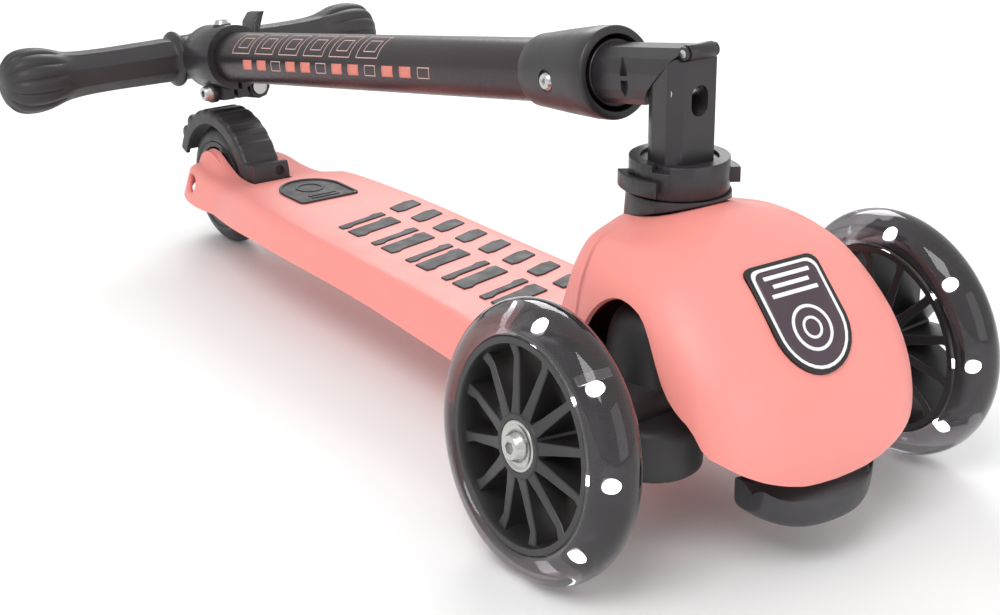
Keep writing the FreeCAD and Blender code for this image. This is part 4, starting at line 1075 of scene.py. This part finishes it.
def outline_band(name, corners, width, material, step=1.2):
    """Closed printed line along a polygon of (along, round) corners, wrapped on the tube."""
    count = len(corners)
    inner = []
    for k in range(count):
        before, here, after = (Vector(corners[(k + d) % count]) for d in (-1, 0, 1))
        a, b = (here - before).normalized(), (after - here).normalized()
        na, nb = Vector((-a.y, a.x)), Vector((-b.y, b.x))
        mitre = (na + nb).normalized()
        inner.append(here + mitre * (width / max(mitre.dot(na), 0.4)))
    rows = []
    for k in range(count):
        ends = [Vector(corners[k]), Vector(corners[(k + 1) % count])]
        inner_ends = [inner[k], inner[(k + 1) % count]]
        pieces = max(int((ends[1] - ends[0]).length / step), 1)
        for n in range(pieces):
            rows.append((ends[0].lerp(ends[1], n / pieces), inner_ends[0].lerp(inner_ends[1], n / pieces)))
    rings = [[wrapped(o.x, o.y, 0.0), wrapped(o.x, o.y, 0.05), wrapped(i.x, i.y, 0.05),
              wrapped(i.x, i.y, 0.0)] for o, i in rows]
    return skin(name, rings, material, caps=False, loop=True)


def filled_block(name, corners, material):
    """Printed four-sided block wrapped on the tube."""
    a, b, c, d = (Vector(p) for p in corners)
    rings = []
    for k in range(9):
        start, end = a.lerp(d, k / 8), b.lerp(c, k / 8)
        rings.append([wrapped(*start.lerp(end, n / 4), 0.05) for n in range(5)])
    lower = [[p - (p - nearest_axis(p)).normalized() * (0.05 * MM) for p in ring] for ring in rings]
    return skin(name, [ring + list(reversed(low)) for ring, low in zip(rings, lower)], material)


def nearest_axis(point):
    return TUBE_START + TUBE_DIR * (point - TUBE_START).dot(TUBE_DIR)


def slanted(along, low, length, high, lean):
    return [(along, low), (along + length, low), (along + length + lean, high), (along + lean, high)]


pale_ink, coral_ink = print_ink("pale_ink", (0.80, 0.50, 0.46)), print_ink("coral_ink", (0.78, 0.24, 0.18))
printed = []
for k in range(6):  # tall outlined blocks, each with a smaller one inside
    start = 238 + 29 * k
    printed.append(outline_band(f"block_{k}", slanted(start, 4, 22, 19, 3), 0.5, pale_ink))
    printed.append(outline_band(f"inset_{k}", slanted(start + 5, 8, 12, 15.5, 1.6), 0.5, pale_ink))
for k in range(12):  # small row below
    start = 190 + 17.5 * k
    block = slanted(start, 22.5, 11, 28.5, 1.5)
    printed.append(filled_block(f"dash_{k}", block, coral_ink) if k % 3 else
                   outline_band(f"dash_{k}", block, 0.5, pale_ink))
placed(joined("tube_print", printed), "t_bar", "tube")


# ---- Hinge sleeve -----------------------------------------------------------------------
# Tapered nylon sleeve that slides down the tube to lock the hinge. Its mouth is wide and
# thick walled, a pale seam runs round its small end, and a screw in a recess guides it.
SLEEVE_FROM, SLEEVE_TO, MOUTH_R, NECK_R = 57.4, 111.0, 21.3, 17.4
SLEEVE_SCREW_AT = 86.0


def hinge_sleeve(material):
    profile = [(SLEEVE_FROM, 17.6), (SLEEVE_FROM, 20.1), (SLEEVE_FROM + 0.4, 20.9),
               (SLEEVE_FROM + 1.3, MOUTH_R), (SLEEVE_FROM + 9, MOUTH_R - 0.1),
               (SLEEVE_FROM + 14, MOUTH_R - 0.5), (SLEEVE_FROM + 30, 19.5),
               (SLEEVE_TO - 7, NECK_R + 0.45), (SLEEVE_TO - 1.4, NECK_R), (SLEEVE_TO - 0.4, NECK_R - 0.4),
               (SLEEVE_TO, NECK_R - 1.0), (SLEEVE_TO, 15.35), (SLEEVE_TO - 14, 15.35),
               (SLEEVE_TO - 16, 17.1), (SLEEVE_FROM + 1, 17.1)]
    body = turned("sleeve_body", profile, TUBE_START, TUBE_DIR, material, 112)
    pocket = turned("pocket", [(0, 0.01), (0, 5.4), (12, 6.4), (12, 0.01)],
                    on_tube(SLEEVE_SCREW_AT, -2.0, -17.9), (-1, 0, 0), material, 48)
    return bevelled(carved(body, pocket), 0.35 * MM, 2, 40)


placed(hinge_sleeve(knuckle_nylon), "sleeve", "black", "sleeve")
seam = turned("sleeve_seam", [(SLEEVE_TO, 15.5), (SLEEVE_TO + 0.5, 15.6), (SLEEVE_TO + 0.5, 16.1),
                              (SLEEVE_TO, 16.3)], TUBE_START, TUBE_DIR, zinc, 96)
placed(seam, "sleeve", "zinc")
dressed("sleeve_bolt", zinc, 0.15)


# ---- Height clamp -----------------------------------------------------------------------
# A split nylon collar at the tube's end, pulled shut by a cross bolt and a cam lever that
# lies up the far side. A button screw holds the collar to the tube from above.
for node, width in (("clamp_collar", 0.8), ("clamp_washer", 0.3)):
    dressed(node, knuckle_nylon, width)


def cam_lever(material):
    """Curved claw: a fat cam at the pin, a bowed arm up the tube's side and a fin at its tip."""
    outline = [(12.5, -27.0), (17.0, -28.0), (22.0, -26.8), (24.8, -22.5), (25.6, -14.0), (25.4, -4.0),
               (25.2, 6.0), (26.6, 14.0), (30.2, 20.8), (32.4, 24.4), (28.6, 24.0), (24.4, 19.4),
               (21.8, 12.0), (20.8, 4.0), (20.8, -6.0), (20.6, -13.4), (15.0, -15.0), (11.2, -17.6),
               (10.6, -22.0)]
    rings = []
    for along, shrink in ((440.4, 0.6), (441.2, 0.0), (456.8, 0.0), (457.6, 0.6)):
        ring = []
        for x, height in outline:
            lean = 9.0 * smooth_step(height, -6.0, 25.0)
            centre_x, centre_height = 21.0, -4.0
            share = 1 - shrink / 14
            ring.append(on_tube(along + lean, centre_height + (height - centre_height) * share,
                                centre_x + (x - centre_x) * share))
        rings.append(ring)
    return bevelled(skin("cam_lever", rings, material), 0.7 * MM, 3, 40)


placed(cam_lever(knuckle_nylon), "clamp_lever", "black", "clamp_lever")
for node in ("clamp_bolt", "clamp_screw"):
    dressed(node, zinc, 0.2)


# ---- Handlebar --------------------------------------------------------------------------
# The inner tube slides in the outer one and ends in a moulded tee. A thin dark tube crosses
# the tee and carries two dark rubber grips with a flange, a flatted body and a fluted bulb.
BAR_AT, GRIP_END = 487.3, 128.9
dressed("inner_tube", dark_tube)
dressed("handlebar_tube", dark_tube)
dressed("handlebar_tee", knuckle_nylon, 0.8)
GRIP_LINE = [(12.9, 15.6), (13.3, 16.7), (14.6, 17.3), (16.2, 17.0), (17.4, 15.4), (18.6, 13.9),
             (24, 13.4), (40, 13.2), (60, 13.0), (80, 13.5), (88, 14.6), (94, 16.6), (100, 18.6),
             (106, 19.6), (112, 19.8), (118, 19.0), (123, 16.6), (126.4, 12.6), (128.2, 8.0),
             (128.8, 4.0), (GRIP_END, 0.05)]
FLUTES, FLATS = 13, 8


def grip_radius(along, turn):
    radius = follow(GRIP_LINE, along)
    flute = smooth_step(along, 90, 101) * (1 - smooth_step(along, 124.5, 128.0))
    wave = abs(math.sin(FLUTES * turn / 2))
    radius -= 1.9 * flute * (1 - wave ** 0.55)
    flat = smooth_step(along, 18.5, 22) * (1 - smooth_step(along, 84, 94))
    section = math.pi / FLATS
    facet = math.cos(section) / math.cos((turn + section) % (2 * section) - section)
    return radius * (1 + flat * 0.9 * (facet - 1) + flat * 0.035)


def grip(side, material):
    centre = on_tube(BAR_AT)
    lengths = [12.9, 13.1, 13.6, 14.6, 15.6, 16.4, 17.0, 17.6, 18.3, 19, 20, 22]
    lengths += [24 + 4 * k for k in range(16)]
    lengths += [86 + 1.6 * k for k in range(22)]
    lengths += [121.5 + 0.6 * k for k in range(11)] + [128.0, 128.4, 128.7, GRIP_END]
    rings = []
    for along in lengths:
        ring = []
        for k in range(208):
            turn = 2 * math.pi * k / 208
            radius = grip_radius(along, turn) * MM
            ring.append(centre + Vector((side * along * MM, math.cos(turn) * radius,
                                         math.sin(turn) * radius)))
        rings.append(ring)
    return skin(f"grip_{'left' if side > 0 else 'right'}_rubber", rings, material)


grip_rubber = soft_rubber("grip_rubber", (0.024, 0.022, 0.024), 0.47, 1500.0)
for side, tag in ((1, "left"), (-1, "right")):
    placed(grip(side, grip_rubber), "handlebar", "rubber", f"grip_{tag}")
